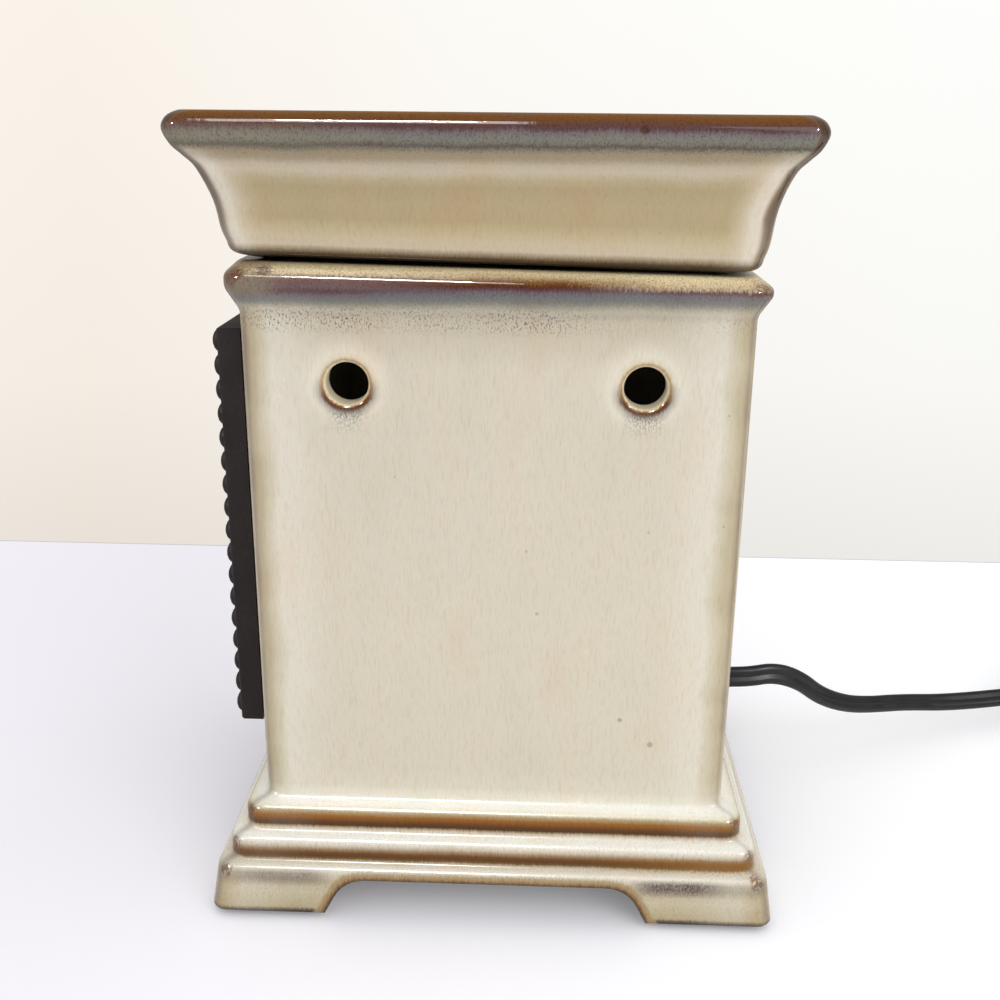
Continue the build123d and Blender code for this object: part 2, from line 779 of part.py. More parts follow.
def switch_shell(upper):
    """One half of the switch: hollowed for the wheel and the contacts, with the screws' holes."""
    thick = switch_thick / 2
    sign = 1 if upper else -1
    shell = extrude(switch_outline(), amount=sign * thick)
    outer = shell.edges().group_by(Axis.Z)[-1 if upper else 0]
    shell = chamfer(outer, switch_round)
    pocket = wheel_r + wheel_gap
    half_gap = wheel_thick / 2 + wheel_gap
    shell -= Pos(wheel_off, 0, 0) * Cylinder(pocket, 2 * half_gap)
    for way in (-1, 1):
        screw_y = way * switch_screw_spread
        shell -= Pos(0, screw_y, 0) * Cylinder(switch_screw_r, 2 * thick + overrun)
        if upper:
            head = switch_screw_head_thick + switch_screw_sink
            shell -= Pos(0, screw_y, thick - head) * Cylinder(
                switch_screw_head_r, head + overrun, align=(Align.CENTER, Align.CENTER, Align.MIN))
    if not upper:
        shell += Pos(wheel_off, 0, -half_gap) * Cylinder(
            wheel_pin_r, 2 * half_gap, align=(Align.CENTER, Align.CENTER, Align.MIN))
        for way in (-1, 1):
            shell -= contact_strip(way)
    return switch_seat * shell


def contact_strip(way):
    """One brass strip in its slot beside the wheel, at one end of the switch."""
    return Pos(contact_side, way * contact_off, 0) * Box(contact_wide, contact_long, contact_high,
                                                        align=(Align.CENTER, Align.CENTER, Align.MAX))


def thumb_wheel():
    """The serrated wheel, bored for the lower shell's pin."""
    rim = []
    for turn in range(2 * wheel_ridges):
        angle = math.pi * turn / wheel_ridges
        reach = wheel_r - wheel_ridge_deep * (turn % 2)
        rim.append((reach * math.cos(angle), reach * math.sin(angle)))
    wheel = extrude(make_face(Polyline(*rim, close=True)), amount=wheel_thick / 2, both=True)
    wheel -= Cylinder(wheel_pin_r + wheel_pin_fit, wheel_thick + overrun)
    return switch_seat * Pos(wheel_off, 0, 0) * wheel


def switch_screws():
    """The two screws that hold the shells together."""
    screws = []
    for way in (-1, 1):
        head_low = switch_thick / 2 - switch_screw_sink - switch_screw_head_thick
        shank = Pos(0, 0, head_low - switch_screw_long) * Cylinder(
            switch_screw_r, switch_screw_long, align=(Align.CENTER, Align.CENTER, Align.MIN))
        head = Pos(0, 0, head_low) * Cylinder(
            switch_screw_head_r, switch_screw_head_thick, align=(Align.CENTER, Align.CENTER, Align.MIN))
        screws.append(switch_seat * Pos(0, way * switch_screw_spread, 0) * (shank + head))
    return Compound(children=screws)


keep("switch_lower_shell", switch_shell(False), "dimgray")
keep("switch_upper_shell", switch_shell(True), "gray")
keep("switch_wheel", thumb_wheel(), "black")
keep("switch_screws", switch_screws(), "silver")
keep("switch_contacts", Compound(children=[switch_seat * contact_strip(way) for way in (-1, 1)]), "gold")
print("switch wheel's axis", [round(v, 3) for v in (switch_seat * Pos(wheel_off, 0, 0)).position])


# Coil of put-away cord
coil_low = cord_r + coil_lift
coil_middle_turn = coil_turns_per_layer + 0.25
coil_outer_r = coil_inner_r + coil_pitch * coil_middle_turn


def coil_point(turn):
    """Place and heading of the coil's centre line after so many turns, clockwise from the -X side.

    The radius shrinks and grows at a steady rate, and both the turning back and the climb to the
    upper layer happen in the half turn round the middle.
    """
    from_middle = turn - coil_middle_turn
    climb = min(max(2 * from_middle + 0.5, 0), 1)
    if abs(from_middle) < 0.25:
        shrink = 2 * from_middle**2 + 0.125
        drift = 4 * from_middle
    else:
        shrink = abs(from_middle)
        drift = math.copysign(1, from_middle)
    radius = coil_inner_r + coil_pitch * shrink
    if turn in (0, 2 * coil_middle_turn):
        drift = 0
    angle = math.pi - turn * math.tau
    outward = Vector(math.cos(angle), math.sin(angle), 0)
    onward = Vector(math.sin(angle), -math.cos(angle), 0)
    rise = coil_pitch * 12 * climb * (1 - climb) / math.tau
    place = Vector(*coil_place, coil_low + coil_pitch * climb**2 * (3 - 2 * climb)) + outward * radius
    heading = onward * radius + outward * (coil_pitch * drift / math.tau) + Vector(0, 0, rise)
    return place, heading.normalized()


def biarc(start, start_way, end, end_way):
    """Two arcs, tangent to each other, that join two places with the given headings."""
    chord = end - start
    ways = start_way + end_way
    share = 2 * (1 - start_way.dot(end_way))
    along = chord.dot(ways)
    reach = (-along + math.sqrt(along**2 + share * chord.dot(chord))) / share
    before = start + start_way * reach
    after = end - end_way * reach
    middle = (before + after) / 2
    return [TangentArc(start, middle, tangent=start_way), TangentArc(middle, end, tangent=after - before)]


def coil():
    """The whole coil as one tube on half-turn biarcs, with a straight end at each side."""
    halves = round(4 * coil_middle_turn)
    stops = [coil_point(half / 2) for half in range(halves + 1)]
    first, first_way = stops[0]
    last, last_way = stops[-1]
    edges = [Line(first - first_way * cord_wide, first)]
    for (start, start_way), (end, end_way) in zip(stops, stops[1:]):
        edges += biarc(start, start_way, end, end_way)
    edges.append(Line(last, last + last_way * cord_wide))
    path = Wire(edges)
    section = Plane(origin=path @ 0, z_dir=path % 0) * RegularPolygon(cord_r, tube_sides)
    tube = sweep(section, path=path)
    ratio = tube.volume / (section.area * path.length)
    steps = round(path.length / cord_r)
    line = [tuple(path @ (step / steps)) for step in range(steps + 1)]
    apart = round(math.tau * coil_inner_r / 2 / cord_r)
    least = min(math.dist(line[i], line[j]) for i in range(steps) for j in range(i + apart, steps + 1))
    print("cord_coil length", round(path.length, 1), "least gap to itself", round(least - cord_wide, 2),
          "inner radius", coil_inner_r, "volume over section times length", round(ratio, 4))
    return tube, path, first - first_way * cord_wide, last + last_way * cord_wide


def coil_tie():
    """The strap round all the turns, on the coil's far side."""
    low = coil_low - cord_r - tie_fit
    high = coil_low + coil_pitch + cord_r + tie_fit
    inner = coil_inner_r - cord_r - tie_fit
    outer = coil_outer_r + cord_r + tie_fit
    middle = coil_place[1] + (inner + outer) / 2
    room = Plane(origin=(coil_place[0], middle, (low + high) / 2), x_dir=(0, 1, 0), z_dir=(1, 0, 0))
    band = extrude(room * RectangleRounded(outer - inner + 2 * tie_thick, high - low + 2 * tie_thick,
                                           tie_round), amount=tie_wide / 2, both=True)
    return band - extrude(room * RectangleRounded(outer - inner, high - low, tie_round - tie_thick),
                          amount=tie_wide / 2 + overrun, both=True)


coil_tube, coil_path, coil_start, coil_end = coil()
keep("cord_coil", coil_tube, "dimgray")
keep("coil_tie", coil_tie(), "black")
cord_total = coil_path.length
cord_total += stretch("cord_rear", route_rear, cord_r, "dimgray")
route_middle = [tuple(switch_out), tuple(switch_out + switch_way * 2.2 * cord_wide), route_middle_bend,
                tuple(coil_start - Vector(0, 2 * cord_wide, 0)), tuple(coil_start)]
cord_total += stretch("cord_middle", route_middle, cord_r, "dimgray")


# Plug
plug_way = Vector(0, -1, 0).rotate(Axis.Z, plug_turn)
plug_tail = Vector(*plug_place, plug_thick / 2)
plug_seat = Pos(*plug_tail) * Rot(0, 0, plug_turn)
route_end = [tuple(coil_end), tuple(coil_end - Vector(0, 1.8 * cord_wide, 0)),
             tuple(plug_tail - plug_way * 2 * cord_wide), tuple(plug_tail)]
cord_total += stretch("cord_end", route_end, cord_r, "dimgray")
print("cord from bushing to plug, with the switch", round(cord_total + switch_long, 1))


def plug_body():
    """The moulded plug, heading -Y from its tail: a tapered neck and a flat body with round corners."""
    tail = Plane.XZ * RectangleRounded(2 * plug_neck_r, 2 * plug_neck_r - plug_round / 2, plug_round)
    neck_end = Plane.XZ.offset(plug_neck_long) * RectangleRounded(
        plug_wide - plug_round, plug_thick - plug_round / 4, plug_round)
    neck = loft([tail, neck_end])
    body = Pos(0, -plug_neck_long - plug_long / 2, 0) * Box(plug_wide, plug_long, plug_thick)
    body = fillet(body.edges().filter_by(Axis.Y), plug_round)
    body = chamfer(body.edges().group_by(Axis.Y)[0], plug_round / 3)
    return plug_seat * (neck + body)


def plug_blades():
    """The two blades, one broader, each with a round hole near its tip and a root inside the body."""
    blades = []
    face = -plug_neck_long - plug_long
    for side, broad in ((-1, blade_narrow), (1, blade_broad)):
        blade = Pos(side * blade_apart / 2, face, 0) * Box(blade_thick, blade_long, broad,
                                                           align=(Align.CENTER, Align.MAX, Align.CENTER))
        blade -= (Pos(side * blade_apart / 2, face - blade_long + blade_hole_from_tip, 0) * Rot(0, 90, 0)
                  * Cylinder(blade_hole_r, blade_thick + overrun))
        blade = chamfer(blade.edges().group_by(Axis.Y)[0].filter_by(Axis.Z), blade_thick / 3)
        blades.append(plug_seat * blade)
    return Compound(children=blades)


keep("plug_body", plug_body(), "dimgray")
keep("plug_blades", plug_blades(), "silver")


# Every sub-part goes to its own file
os.makedirs("parts", exist_ok=True)
for name, shape in made.items():
    export_step(shape, os.path.join("parts", name + ".step"))
print(len(made), "sub-parts")
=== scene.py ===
# %% [markdown]
# # A square ceramic wax melt warmer
# A slip-cast housing stands on four feet. A bulb inside it warms a lift-off dish that holds the wax.
# The CAD model gives every size. These cells keep its metal and plastic parts, and build again, finer,
# what the eye dwells on: the glazed ceramic, the beaded plaque frame and the cord.

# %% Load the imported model
import math
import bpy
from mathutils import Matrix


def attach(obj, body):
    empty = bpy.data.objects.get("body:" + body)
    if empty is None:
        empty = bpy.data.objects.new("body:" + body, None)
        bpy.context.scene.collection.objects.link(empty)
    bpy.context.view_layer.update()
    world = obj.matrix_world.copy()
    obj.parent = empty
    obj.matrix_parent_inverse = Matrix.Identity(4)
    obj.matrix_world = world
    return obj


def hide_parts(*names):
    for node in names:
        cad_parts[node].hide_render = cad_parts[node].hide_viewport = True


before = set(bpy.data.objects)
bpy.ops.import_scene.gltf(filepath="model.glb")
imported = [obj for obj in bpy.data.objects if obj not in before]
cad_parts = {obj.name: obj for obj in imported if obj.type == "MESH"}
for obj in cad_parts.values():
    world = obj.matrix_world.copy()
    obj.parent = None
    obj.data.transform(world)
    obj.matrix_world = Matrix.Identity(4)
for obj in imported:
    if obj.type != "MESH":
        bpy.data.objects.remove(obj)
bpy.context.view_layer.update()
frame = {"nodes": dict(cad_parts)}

from types import SimpleNamespace

import bmesh
import bpy
from mathutils import Matrix, Vector

MM = 0.001

# %% [markdown]
# ## Colours and nodes
# Colours are written as sRGB hex, as a colour picker shows them. Blender's sockets want linear light, so
# one function turns them. Another adds any node with its settings and links, because long chains of nodes
# are easier to read as one call each.

# %% Helpers for materials


def linear(hex_colour, alpha=1.0):
    """An sRGB hex colour as linear light."""
    parts = [int(hex_colour[place:place + 2], 16) / 255 for place in (0, 2, 4)]
    lights = [part / 12.92 if part <= 0.04045 else ((part + 0.055) / 1.055) ** 2.4 for part in parts]
    return lights + [alpha]


def fill(node, sockets):
    """Gives a node's sockets, named or numbered, a value, a node or a node's output."""
    for key, value in sockets.items():
        socket = node.inputs[key]
        if isinstance(key, str):
            socket = next(s for s in node.inputs if s.enabled and s.name == key)
        if isinstance(value, bpy.types.Node):
            value = next(s for s in value.outputs if s.enabled)
        if isinstance(value, bpy.types.NodeSocket):
            node.id_data.links.new(value, socket)
        else:
            socket.default_value = value


def add(tree, kind, sockets=None, stops=(), **settings):
    """A node with its settings, its sockets and, for a ramp, its (place, colour, alpha) stops."""
    node = tree.nodes.new(kind)
    for name, value in settings.items():
        setattr(node, name, value)
    elements = node.color_ramp.elements if stops else []
    while len(elements) < len(stops):
        elements.new(1.0)
    for element, (place, colour, *alpha) in zip(elements, stops):
        element.position = place
        element.color = linear(colour, *alpha)
    fill(node, sockets or {})
    return node


# %% [markdown]
# ## Camera
# The camera stands where the photograph's did, found by fitting the edges of the square housing. It looks
# at the warmer's right side from a little above.

# %% Camera

CAMERA_PLACE = Vector((291.9, 9.7, 178.5)) * MM
CAMERA_DOWN = math.radians(18.263)
CAMERA_HEADING = math.radians(2.058)
CAMERA_ROLL = math.radians(0.54)
CAMERA_LENS = 42.26

scene = bpy.context.scene
camera = bpy.data.objects.new("camera", bpy.data.cameras.new("camera"))
scene.collection.objects.link(camera)
turn_down = Matrix.Rotation(math.pi / 2 - CAMERA_DOWN, 3, "X")
turn_round = Matrix.Rotation(math.pi / 2 + CAMERA_HEADING, 3, "Z")
turn_level = Matrix.Rotation(CAMERA_ROLL, 3, "Z")
camera.matrix_world = Matrix.Translation(CAMERA_PLACE) @ (turn_round @ turn_down @ turn_level).to_4x4()
camera.data.lens = CAMERA_LENS
camera.data.clip_start = MM
scene.camera = camera
scene.view_settings.view_transform = "Standard"
print("camera at", [round(v / MM, 1) for v in CAMERA_PLACE], "lens", CAMERA_LENS)

# %% [markdown]
# ## Floor and room
# The floor is a pale painted sheet that ends a little behind the warmer, where the photograph shows its
# edge. Past it is a white wall, made by the world alone. Bright lamps could whiten both, but they would
# bleach the glaze as well. So the floor and the world show their own pale colour to the camera, and light
# the pot at a plain level.

# %% Floor

FLOOR_EDGE = -178.4 * MM
FLOOR_REACH = 1.6
FLOOR_SHADE_SPAN = (-0.12, 0.16)
EDGE_SHADOW_WIDE = 0.7 * MM
FLOOR_GLOW = 0.15


def floor_material():
    """A pale painted sheet with painted shade: greyer left, whiter right, and a grey line along its far
    edge.
    """
    material = bpy.data.materials.new("white_painted_sheet")
    material.use_nodes = True
    tree = material.node_tree
    place = add(tree, "ShaderNodeSeparateXYZ", {0: add(tree, "ShaderNodeTexCoord").outputs["Object"]})
    across = add(tree, "ShaderNodeMapRange", {"Value": place.outputs["Y"], "From Min": FLOOR_SHADE_SPAN[0],
                                              "From Max": FLOOR_SHADE_SPAN[1]})
    # Painted shade: the sheet is greyer to the left, away from the lamps, and whiter to the right
    tint = add(tree, "ShaderNodeValToRGB", {"Fac": across},
               [(0.0, "F2EFF4"), (0.55, "F9F9FD"), (1.0, "FFFFFF")])
    # Painted shadow: a thin grey line along the far edge, where the sheet meets the wall
    edge_shadow = add(tree, "ShaderNodeMath", {0: place.outputs["X"], 1: FLOOR_EDGE, 2: EDGE_SHADOW_WIDE},
               operation="COMPARE")
    colour = add(tree, "ShaderNodeMix", {"Factor": edge_shadow, "A": tint, "B": linear("BEBBBF")},
                 data_type="RGBA")
    to_camera = add(tree, "ShaderNodeLightPath").outputs["Is Camera Ray"]
    glow = add(tree, "ShaderNodeMath", {0: to_camera, 1: FLOOR_GLOW}, operation="MULTIPLY")
    # Brushed paint is nearly matt, so the pot leaves a shadow and hardly a reflection
    fill(tree.nodes["Principled BSDF"], {"Base Color": colour, "Emission Color": colour, "Roughness": 0.55,
                                         "Emission Strength": glow, "Specular IOR Level": 0.25})
    return material


mesh = bpy.data.meshes.new("floor")
mesh.from_pydata([(FLOOR_EDGE, -FLOOR_REACH, 0), (FLOOR_REACH, -FLOOR_REACH, 0),
                  (FLOOR_REACH, FLOOR_REACH, 0), (FLOOR_EDGE, FLOOR_REACH, 0)], [], [(0, 1, 2, 3)])
mesh.materials.append(floor_material())
sheet = bpy.data.objects.new("floor", mesh)
scene.collection.objects.link(sheet)
print("floor ends at", round(FLOOR_EDGE / MM, 1), "mm")

# %% Room

WORLD_LEVEL = 0.90
GLOSS_DIMMED = 0.58
UPWARDS = (-0.60, 0.10)
RIGHTWARDS = (-1.0, 0.30)

# Painted shade on the wall: a little darker low down, near the floor, and to the left, away from the lamps
wall_upwards = [(0.0, "FCFCFB"), (0.20, "FCFCFB"), (0.34, "EBE9E5"), (0.57, "FAF8F5"), (1.0, "FFFFFC")]
wall_rightwards = [(0.0, "FEFDFC"), (0.25, "FDFAF7"), (0.49, "FAF3EC"), (0.72, "FDFBF9"),
                   (1.0, "FEFFFF")]

world = bpy.data.worlds.new("soft_white_room")
world.use_nodes = True
scene.world = world
room = world.node_tree
lit = room.nodes["Background"]
fill(lit, {"Color": linear("FBFCFF"), "Strength": WORLD_LEVEL})
way = add(room, "ShaderNodeSeparateXYZ", {0: add(room, "ShaderNodeTexCoord").outputs["Generated"]})
wall_parts = []
for axis, (low, high), stops in (("Z", UPWARDS, wall_upwards), ("Y", RIGHTWARDS, wall_rightwards)):
    share = add(room, "ShaderNodeMapRange", {"Value": way.outputs[axis], "From Min": low, "From Max": high})
    wall_parts.append(add(room, "ShaderNodeValToRGB", {"Fac": share}, stops))
wall = add(room, "ShaderNodeMix", {"Factor": 1.0, "A": wall_parts[0], "B": wall_parts[1]},
           data_type="RGBA", blend_type="MULTIPLY")
# The camera and glass see the wall as it is, gloss sees it dimmer, and all other light comes from lit
path = add(room, "ShaderNodeLightPath").outputs
seen = path["Is Camera Ray"]
for ray in ("Is Glossy Ray", "Is Transmission Ray"):
    seen = add(room, "ShaderNodeMath", {0: seen, 1: path[ray]}, operation="MAXIMUM")
level = add(room, "ShaderNodeMath", {0: path["Is Glossy Ray"], 1: -GLOSS_DIMMED, 2: 1.0},
            operation="MULTIPLY_ADD")
shown = add(room, "ShaderNodeBackground", {"Color": wall, "Strength": level})
either = add(room, "ShaderNodeMixShader", {"Fac": seen, 1: lit, 2: shown})
fill(room.nodes["World Output"], {"Surface": either})
print("room nodes", len(room.nodes))

# %% [markdown]
# ## Lamps
# One broad lamp from the camera's right gives the sides their gentle fall-off. A glazed pot also mirrors
# each window and lamp of the room as a white line or a glint. So four bright lamps show in the gloss alone
# and light nothing. A strip and a window overhead make the lines on the rims and the glare in the coves,
# and a small one to each side makes the glints at the corners.

# %% Lamps

# Each: name, place and target in metres, width, height and watts
lamps = [
    ("broad_side", (0.75, 0.55, 0.65), (0, 0, 0.09), 0.6, 0.6, 2.4),
    ("strip_overhead", (0.36, -0.124, 0.70), (0.055, -0.124, 0.12), 0.158, 0.03, 6.5),
    ("window_overhead", (0.42, -0.150, 0.74), (0.055, -0.150, 0.12), 0.30, 0.20, 2.2),
    ("glint_right", (0.45, 0.62, 0.60), (0.055, 0, 0.12), 0.09, 0.12, 5.0),
    ("glint_left", (0.42, -0.60, 0.55), (0.055, 0, 0.12), 0.09, 0.12, 5.0)]

for name, place, target, wide, high, watts in lamps:
    data = bpy.data.lights.new(name, "AREA")
    data.shape = "RECTANGLE"
    data.size = wide
    data.size_y = high
    data.energy = watts
    lamp = bpy.data.objects.new(name, data)
    scene.collection.objects.link(lamp)
    lamp.location = place
    lamp.rotation_euler = (Vector(target) - Vector(place)).to_track_quat("-Z", "Y").to_euler()
    lamp.visible_diffuse = name == "broad_side"
print("lamps", len(lamps))

# %% [markdown]
# ## Cord
# Lamp cord is two insulated wires side by side, joined by a thin web: a figure eight in section, twice as
# wide as it is thick. A swept tube would lose the groove, so each ring of a mesh tube is that figure eight,
# set square to a smooth NURBS line. The cord twists on its way down, as a flat cord does when it bends.

# %% Routes, as in the CAD source

CORD_WIDE = 5.6 * MM
LOBE_R = 1.47 * MM
GROOVE = math.radians(32)
LOBE_POINTS = 9

rear_route = [(0, 61.1, 32.6), (0, 67, 32.6), (-2.2, 74.8, 33.2), (-5.4, 82.6, 29.6), (-10, 90, 22.4),
              (-14.8, 98.6, 17.6), (-20.3, 107.4, 14.6), (-26.1, 119, 12.7), (-32.4, 134, 9.6),
              (-39.52, 156.21, 8.5), (-44, 170, 8.5)]
middle_route = [(-62.54, 227.06, 8.5), (-66.35, 238.78, 8.5), (-69, 252.5, 5.2), (-71.24, 267.2, 3.8),
                (-71.24, 278.4, 3.8)]
end_route = [(11.24, 278.4, 10.15), (11.24, 268.32, 10.15), (10.33, 261.14, 6.2), (11.5, 250, 6.2)]

COIL_PLACE = (-30, 284)
COIL_INNER_R = 20.6
COIL_PITCH = 6.35
COIL_LOW = 3.8
COIL_MIDDLE_TURN = 3.25
COIL_POINTS_PER_TURN = 24


def coil_point(turn):
    """Where the coil's line is after so many turns: winding in below, out again above."""
    from_middle = turn - COIL_MIDDLE_TURN
    climb = min(max(2 * from_middle + 0.5, 0), 1)
    shrink = abs(from_middle) if abs(from_middle) > 0.25 else 2 * from_middle**2 + 0.125
    radius = (COIL_INNER_R + COIL_PITCH * shrink) / math.cos(math.pi / COIL_POINTS_PER_TURN)
    angle = math.pi - turn * math.tau
    return (COIL_PLACE[0] + radius * math.cos(angle), COIL_PLACE[1] + radius * math.sin(angle),
            COIL_LOW + COIL_PITCH * climb**2 * (3 - 2 * climb))


coil_steps = round(2 * COIL_MIDDLE_TURN * COIL_POINTS_PER_TURN)
coil_route = [coil_point(step / COIL_POINTS_PER_TURN) for step in range(coil_steps + 1)]
far_route = middle_route + coil_route + end_route
print("cord points", len(rear_route), "and", len(far_route))

# %% The cord's line and its twin section


def finished(name, mesh, sharp=40):
    """Turns a bmesh into a smooth-shaded object with its hard edges kept."""
    bmesh.ops.recalc_face_normals(mesh, faces=mesh.faces)
    data = bpy.data.meshes.new(name)
    mesh.to_mesh(data)
    mesh.free()
    data.shade_smooth()
    data.set_sharp_from_angle(angle=math.radians(sharp))
    piece = bpy.data.objects.new(name, data)
    scene.collection.objects.link(piece)
    return piece


def smooth_line(name, route):
    """Points along the smooth curve that a route's points control, in metres."""
    curve = bpy.data.curves.new(name, "CURVE")
    curve.dimensions = "3D"
    spline = curve.splines.new("NURBS")
    spline.points.add(len(route) - 1)
    for point, place in zip(spline.points, route):
        point.co = [v * MM for v in place] + [1]
    spline.order_u = 3
    spline.use_endpoint_u = True
    curve.resolution_u = 5
    holder = bpy.data.objects.new(name, curve)
    scene.collection.objects.link(holder)
    mesh = bpy.data.meshes.new_from_object(holder)
    line = [v.co.copy() for v in mesh.vertices]
    bpy.data.objects.remove(holder)
    bpy.data.curves.remove(curve)
    bpy.data.meshes.remove(mesh)
    return line


def twin_section():
    """The figure eight: two round lobes, one above the other, with a groove on each side."""
    middle = CORD_WIDE / 2 - LOBE_R
    points = []
    for side in (1, -1):
        for step in range(LOBE_POINTS):
            angle = side * math.pi / 2 + (0.5 - step / (LOBE_POINTS - 1)) * (2 * math.pi - 2 * GROOVE)
            points.append((LOBE_R * math.cos(angle), side * middle + LOBE_R * math.sin(angle)))
    return points


def twist_at(along, twists):
    """The twist between the (length, degrees) marks."""
    for (start, first), (end, second) in zip(twists, twists[1:]):
        if along <= end:
            share = (along - start) / (end - start)
            return math.radians(first + (second - first) * share * share * (3 - 2 * share))
    return math.radians(twists[-1][1])


def twin_cord(name, line, twists):
    """A mesh tube of twin section along a line. A twist of 0 stands the lobes one above the other."""
    section = twin_section()
    mesh = bmesh.new()
    rings = []
    along = 0.0
    for place, before, after in zip(line, [line[0]] + line, line[1:] + [line[-1]]):
        along += (place - before).length
        onward = (after - before).normalized()
        side = onward.cross(Vector((0, 0, 1))).normalized()
        up = side.cross(onward)
        twist = twist_at(along, twists)
        across = side * math.cos(twist) + up * math.sin(twist)
        upward = up * math.cos(twist) - side * math.sin(twist)
        rings.append([mesh.verts.new(place + across * x + upward * y) for x, y in section])
    count = len(section)
    for ring, following in zip(rings, rings[1:]):
        for step in range(count):
            nearby = (step + 1) % count
            mesh.faces.new((ring[step], following[step], following[nearby], ring[nearby]))
    mesh.faces.new(rings[0])
    mesh.faces.new(rings[-1][::-1])
    print(name, "line in mm", round(along / MM, 1), "rings", len(rings))
    return finished(name, mesh)


# The twist of each cord, as (metres along it, degrees)
REAR_TWISTS = [(0, 15), (0.02, 20), (0.06, 70), (0.10, 60), (0.13, 90)]
FAR_TWISTS = [(0, 90), (0.05, 0), (1.32, 0), (1.36, 90)]

rear_line = smooth_line("rear_line", rear_route)
far_line = smooth_line("far_line", far_route)
cord_to_switch = twin_cord("cord_to_switch", rear_line, REAR_TWISTS)
cord_to_plug = twin_cord("cord_to_plug", far_line, FAR_TWISTS)

# %% [markdown]
# ### What the cord is made of
# The cord is PVC, extruded hot over both wires at once. That leaves it matt black with a dull sheen and a
# faint leathery skin. The same recipe serves every moulded, plated or cast piece here: a fine grain, a
# second tone in the colour, and gloss that varies slowly. A real moulding's grain is about 0.05 mm, too
# fine to show, so the grains are drawn about ten times as coarse.

# %% A recipe for moulded and plated finishes

BROAD_TO_FINE = 12


def moulded(name, colour, worn, roughness, grain, depth, metallic=0.0, coat=0.0, streak=(1, 1, 1)):
    """A finish with a grain of a size in mm, a second tone in its colour and uneven gloss."""
    material = bpy.data.materials.new(name)
    material.use_nodes = True
    tree = material.node_tree
    place = add(tree, "ShaderNodeTexCoord").outputs["Object"]
    stretched = add(tree, "ShaderNodeVectorMath", {0: place, 1: streak}, operation="MULTIPLY")
    fine, broad = [
        add(tree, "ShaderNodeTexNoise", {"Vector": stretched, "Scale": 1 / (size * MM), "Detail": detail})
        for size, detail in ((grain, 4.0), (BROAD_TO_FINE * grain, 3.0))]
    both = add(tree, "ShaderNodeMath", {0: fine, 1: broad}, operation="MULTIPLY")
    tone = add(tree, "ShaderNodeValToRGB", {"Fac": both}, [(0.14, colour), (0.42, worn)])
    gloss = add(tree, "ShaderNodeMapRange", {"Value": broad, "From Min": 0.3, "From Max": 0.7,
                                             "To Min": roughness * 0.85, "To Max": roughness * 1.2})
    bump = add(tree, "ShaderNodeBump", {"Height": fine, "Distance": depth * MM, "Strength": 0.6})
    fill(tree.nodes["Principled BSDF"], {
        "Base Color": tone, "Roughness": gloss, "Normal": bump, "Metallic": metallic, "Coat Weight": coat,
        "Specular IOR Level": 0.5 if metallic else 0.38})
    return material


soft_pvc = moulded("extruded_pvc_black", "0F1011", "1C1D1E", 0.42, 0.5, 0.04)


def dress(piece, material, body):
    """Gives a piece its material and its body."""
    piece.data.materials.clear()
    piece.data.materials.append(material)
    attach(piece, body)


dress(cord_to_switch, soft_pvc, "housing")
dress(cord_to_plug, soft_pvc, "housing")
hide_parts("cord_rear")
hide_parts("cord_middle", "cord_coil", "cord_end")

node = frame["nodes"]

# %% [markdown]
# ## Ceramic forms
# The housing and the dish are both square, with round corners, and every edge on them runs level. So each
# is one outline, swept round a rounded square. The outline is drawn as a few corners with a radius each,
# as a model maker draws a template, and the radius is what catches the light.

# %% Outlines and square lofts


def rounded(corners, steps=6):
    """Points along an outline of (half width, height, radius) corners, each rounded to its radius."""
    places = [Vector(corner[:2]) for corner in corners]
    points = []
    for index, (half, height, radius) in enumerate(corners):
        here = places[index]
        if not radius:
            points.append(here)
            continue
        to_before = (places[index - 1] - here).normalized()
        to_after = (places[(index + 1) % len(places)] - here).normalized()
        half_angle = to_before.angle(to_after) / 2
        centre = here + (to_before + to_after).normalized() * radius / math.sin(half_angle)
        first = here + to_before * radius / math.tan(half_angle) - centre
        last = here + to_after * radius / math.tan(half_angle) - centre
        turn = math.pi - 2 * half_angle
        for step in range(steps + 1):
            share = step / steps
            points.append(centre + (first * math.sin((1 - share) * turn) + last * math.sin(share * turn))
                          / math.sin(turn))
    return [tuple(point) for point in points]


def through(points, steps=4):
    """A smooth outline through points, as a flexible ruler bends through pins."""
    pins = [Vector(point) for point in points]
    pins = [2 * pins[0] - pins[1]] + pins + [2 * pins[-1] - pins[-2]]
    smooth = []
    for before, start, end, after in zip(pins, pins[1:], pins[2:], pins[3:]):
        for step in range(steps):
            t = step / steps
            smooth.append(tuple(0.5 * (2 * start + (end - before) * t
                                       + (2 * before - 5 * start + 4 * end - after) * t**2
                                       + (3 * start - before - 3 * end + after) * t**3)))
    return smooth + [tuple(pins[-2])]


CORNER_STEPS = 8


def square_ring(half, corner):
    """A square with round corners, as points that go round from the +X +Y corner."""
    points = []
    for quarter in range(4):
        for step in range(CORNER_STEPS + 1):
            angle = math.pi / 2 * (quarter + step / CORNER_STEPS)
            middle = math.pi / 2 * quarter + math.pi / 4
            points.append(((half - corner) * math.copysign(1, math.cos(middle)) + corner * math.cos(angle),
                           (half - corner) * math.copysign(1, math.sin(middle)) + corner * math.sin(angle)))
    return points


def square_loft(outline, corner_at):
    """A closed solid that carries an outline round a rounded square, with a flat face at each end."""
    mesh = bmesh.new()
    rings = []
    for half, height in outline:
        around = square_ring(half, corner_at(half, height))
        rings.append([mesh.verts.new(Vector((x, y, height)) * MM) for x, y in around])
    count = len(rings[0])
    for ring, above in zip(rings, rings[1:]):
        for step in range(count):
            nearby = (step + 1) % count
            mesh.faces.new((ring[step], ring[nearby], above[nearby], above[step]))
    mesh.faces.new(rings[0][::-1])
    mesh.faces.new(rings[-1])
    return mesh


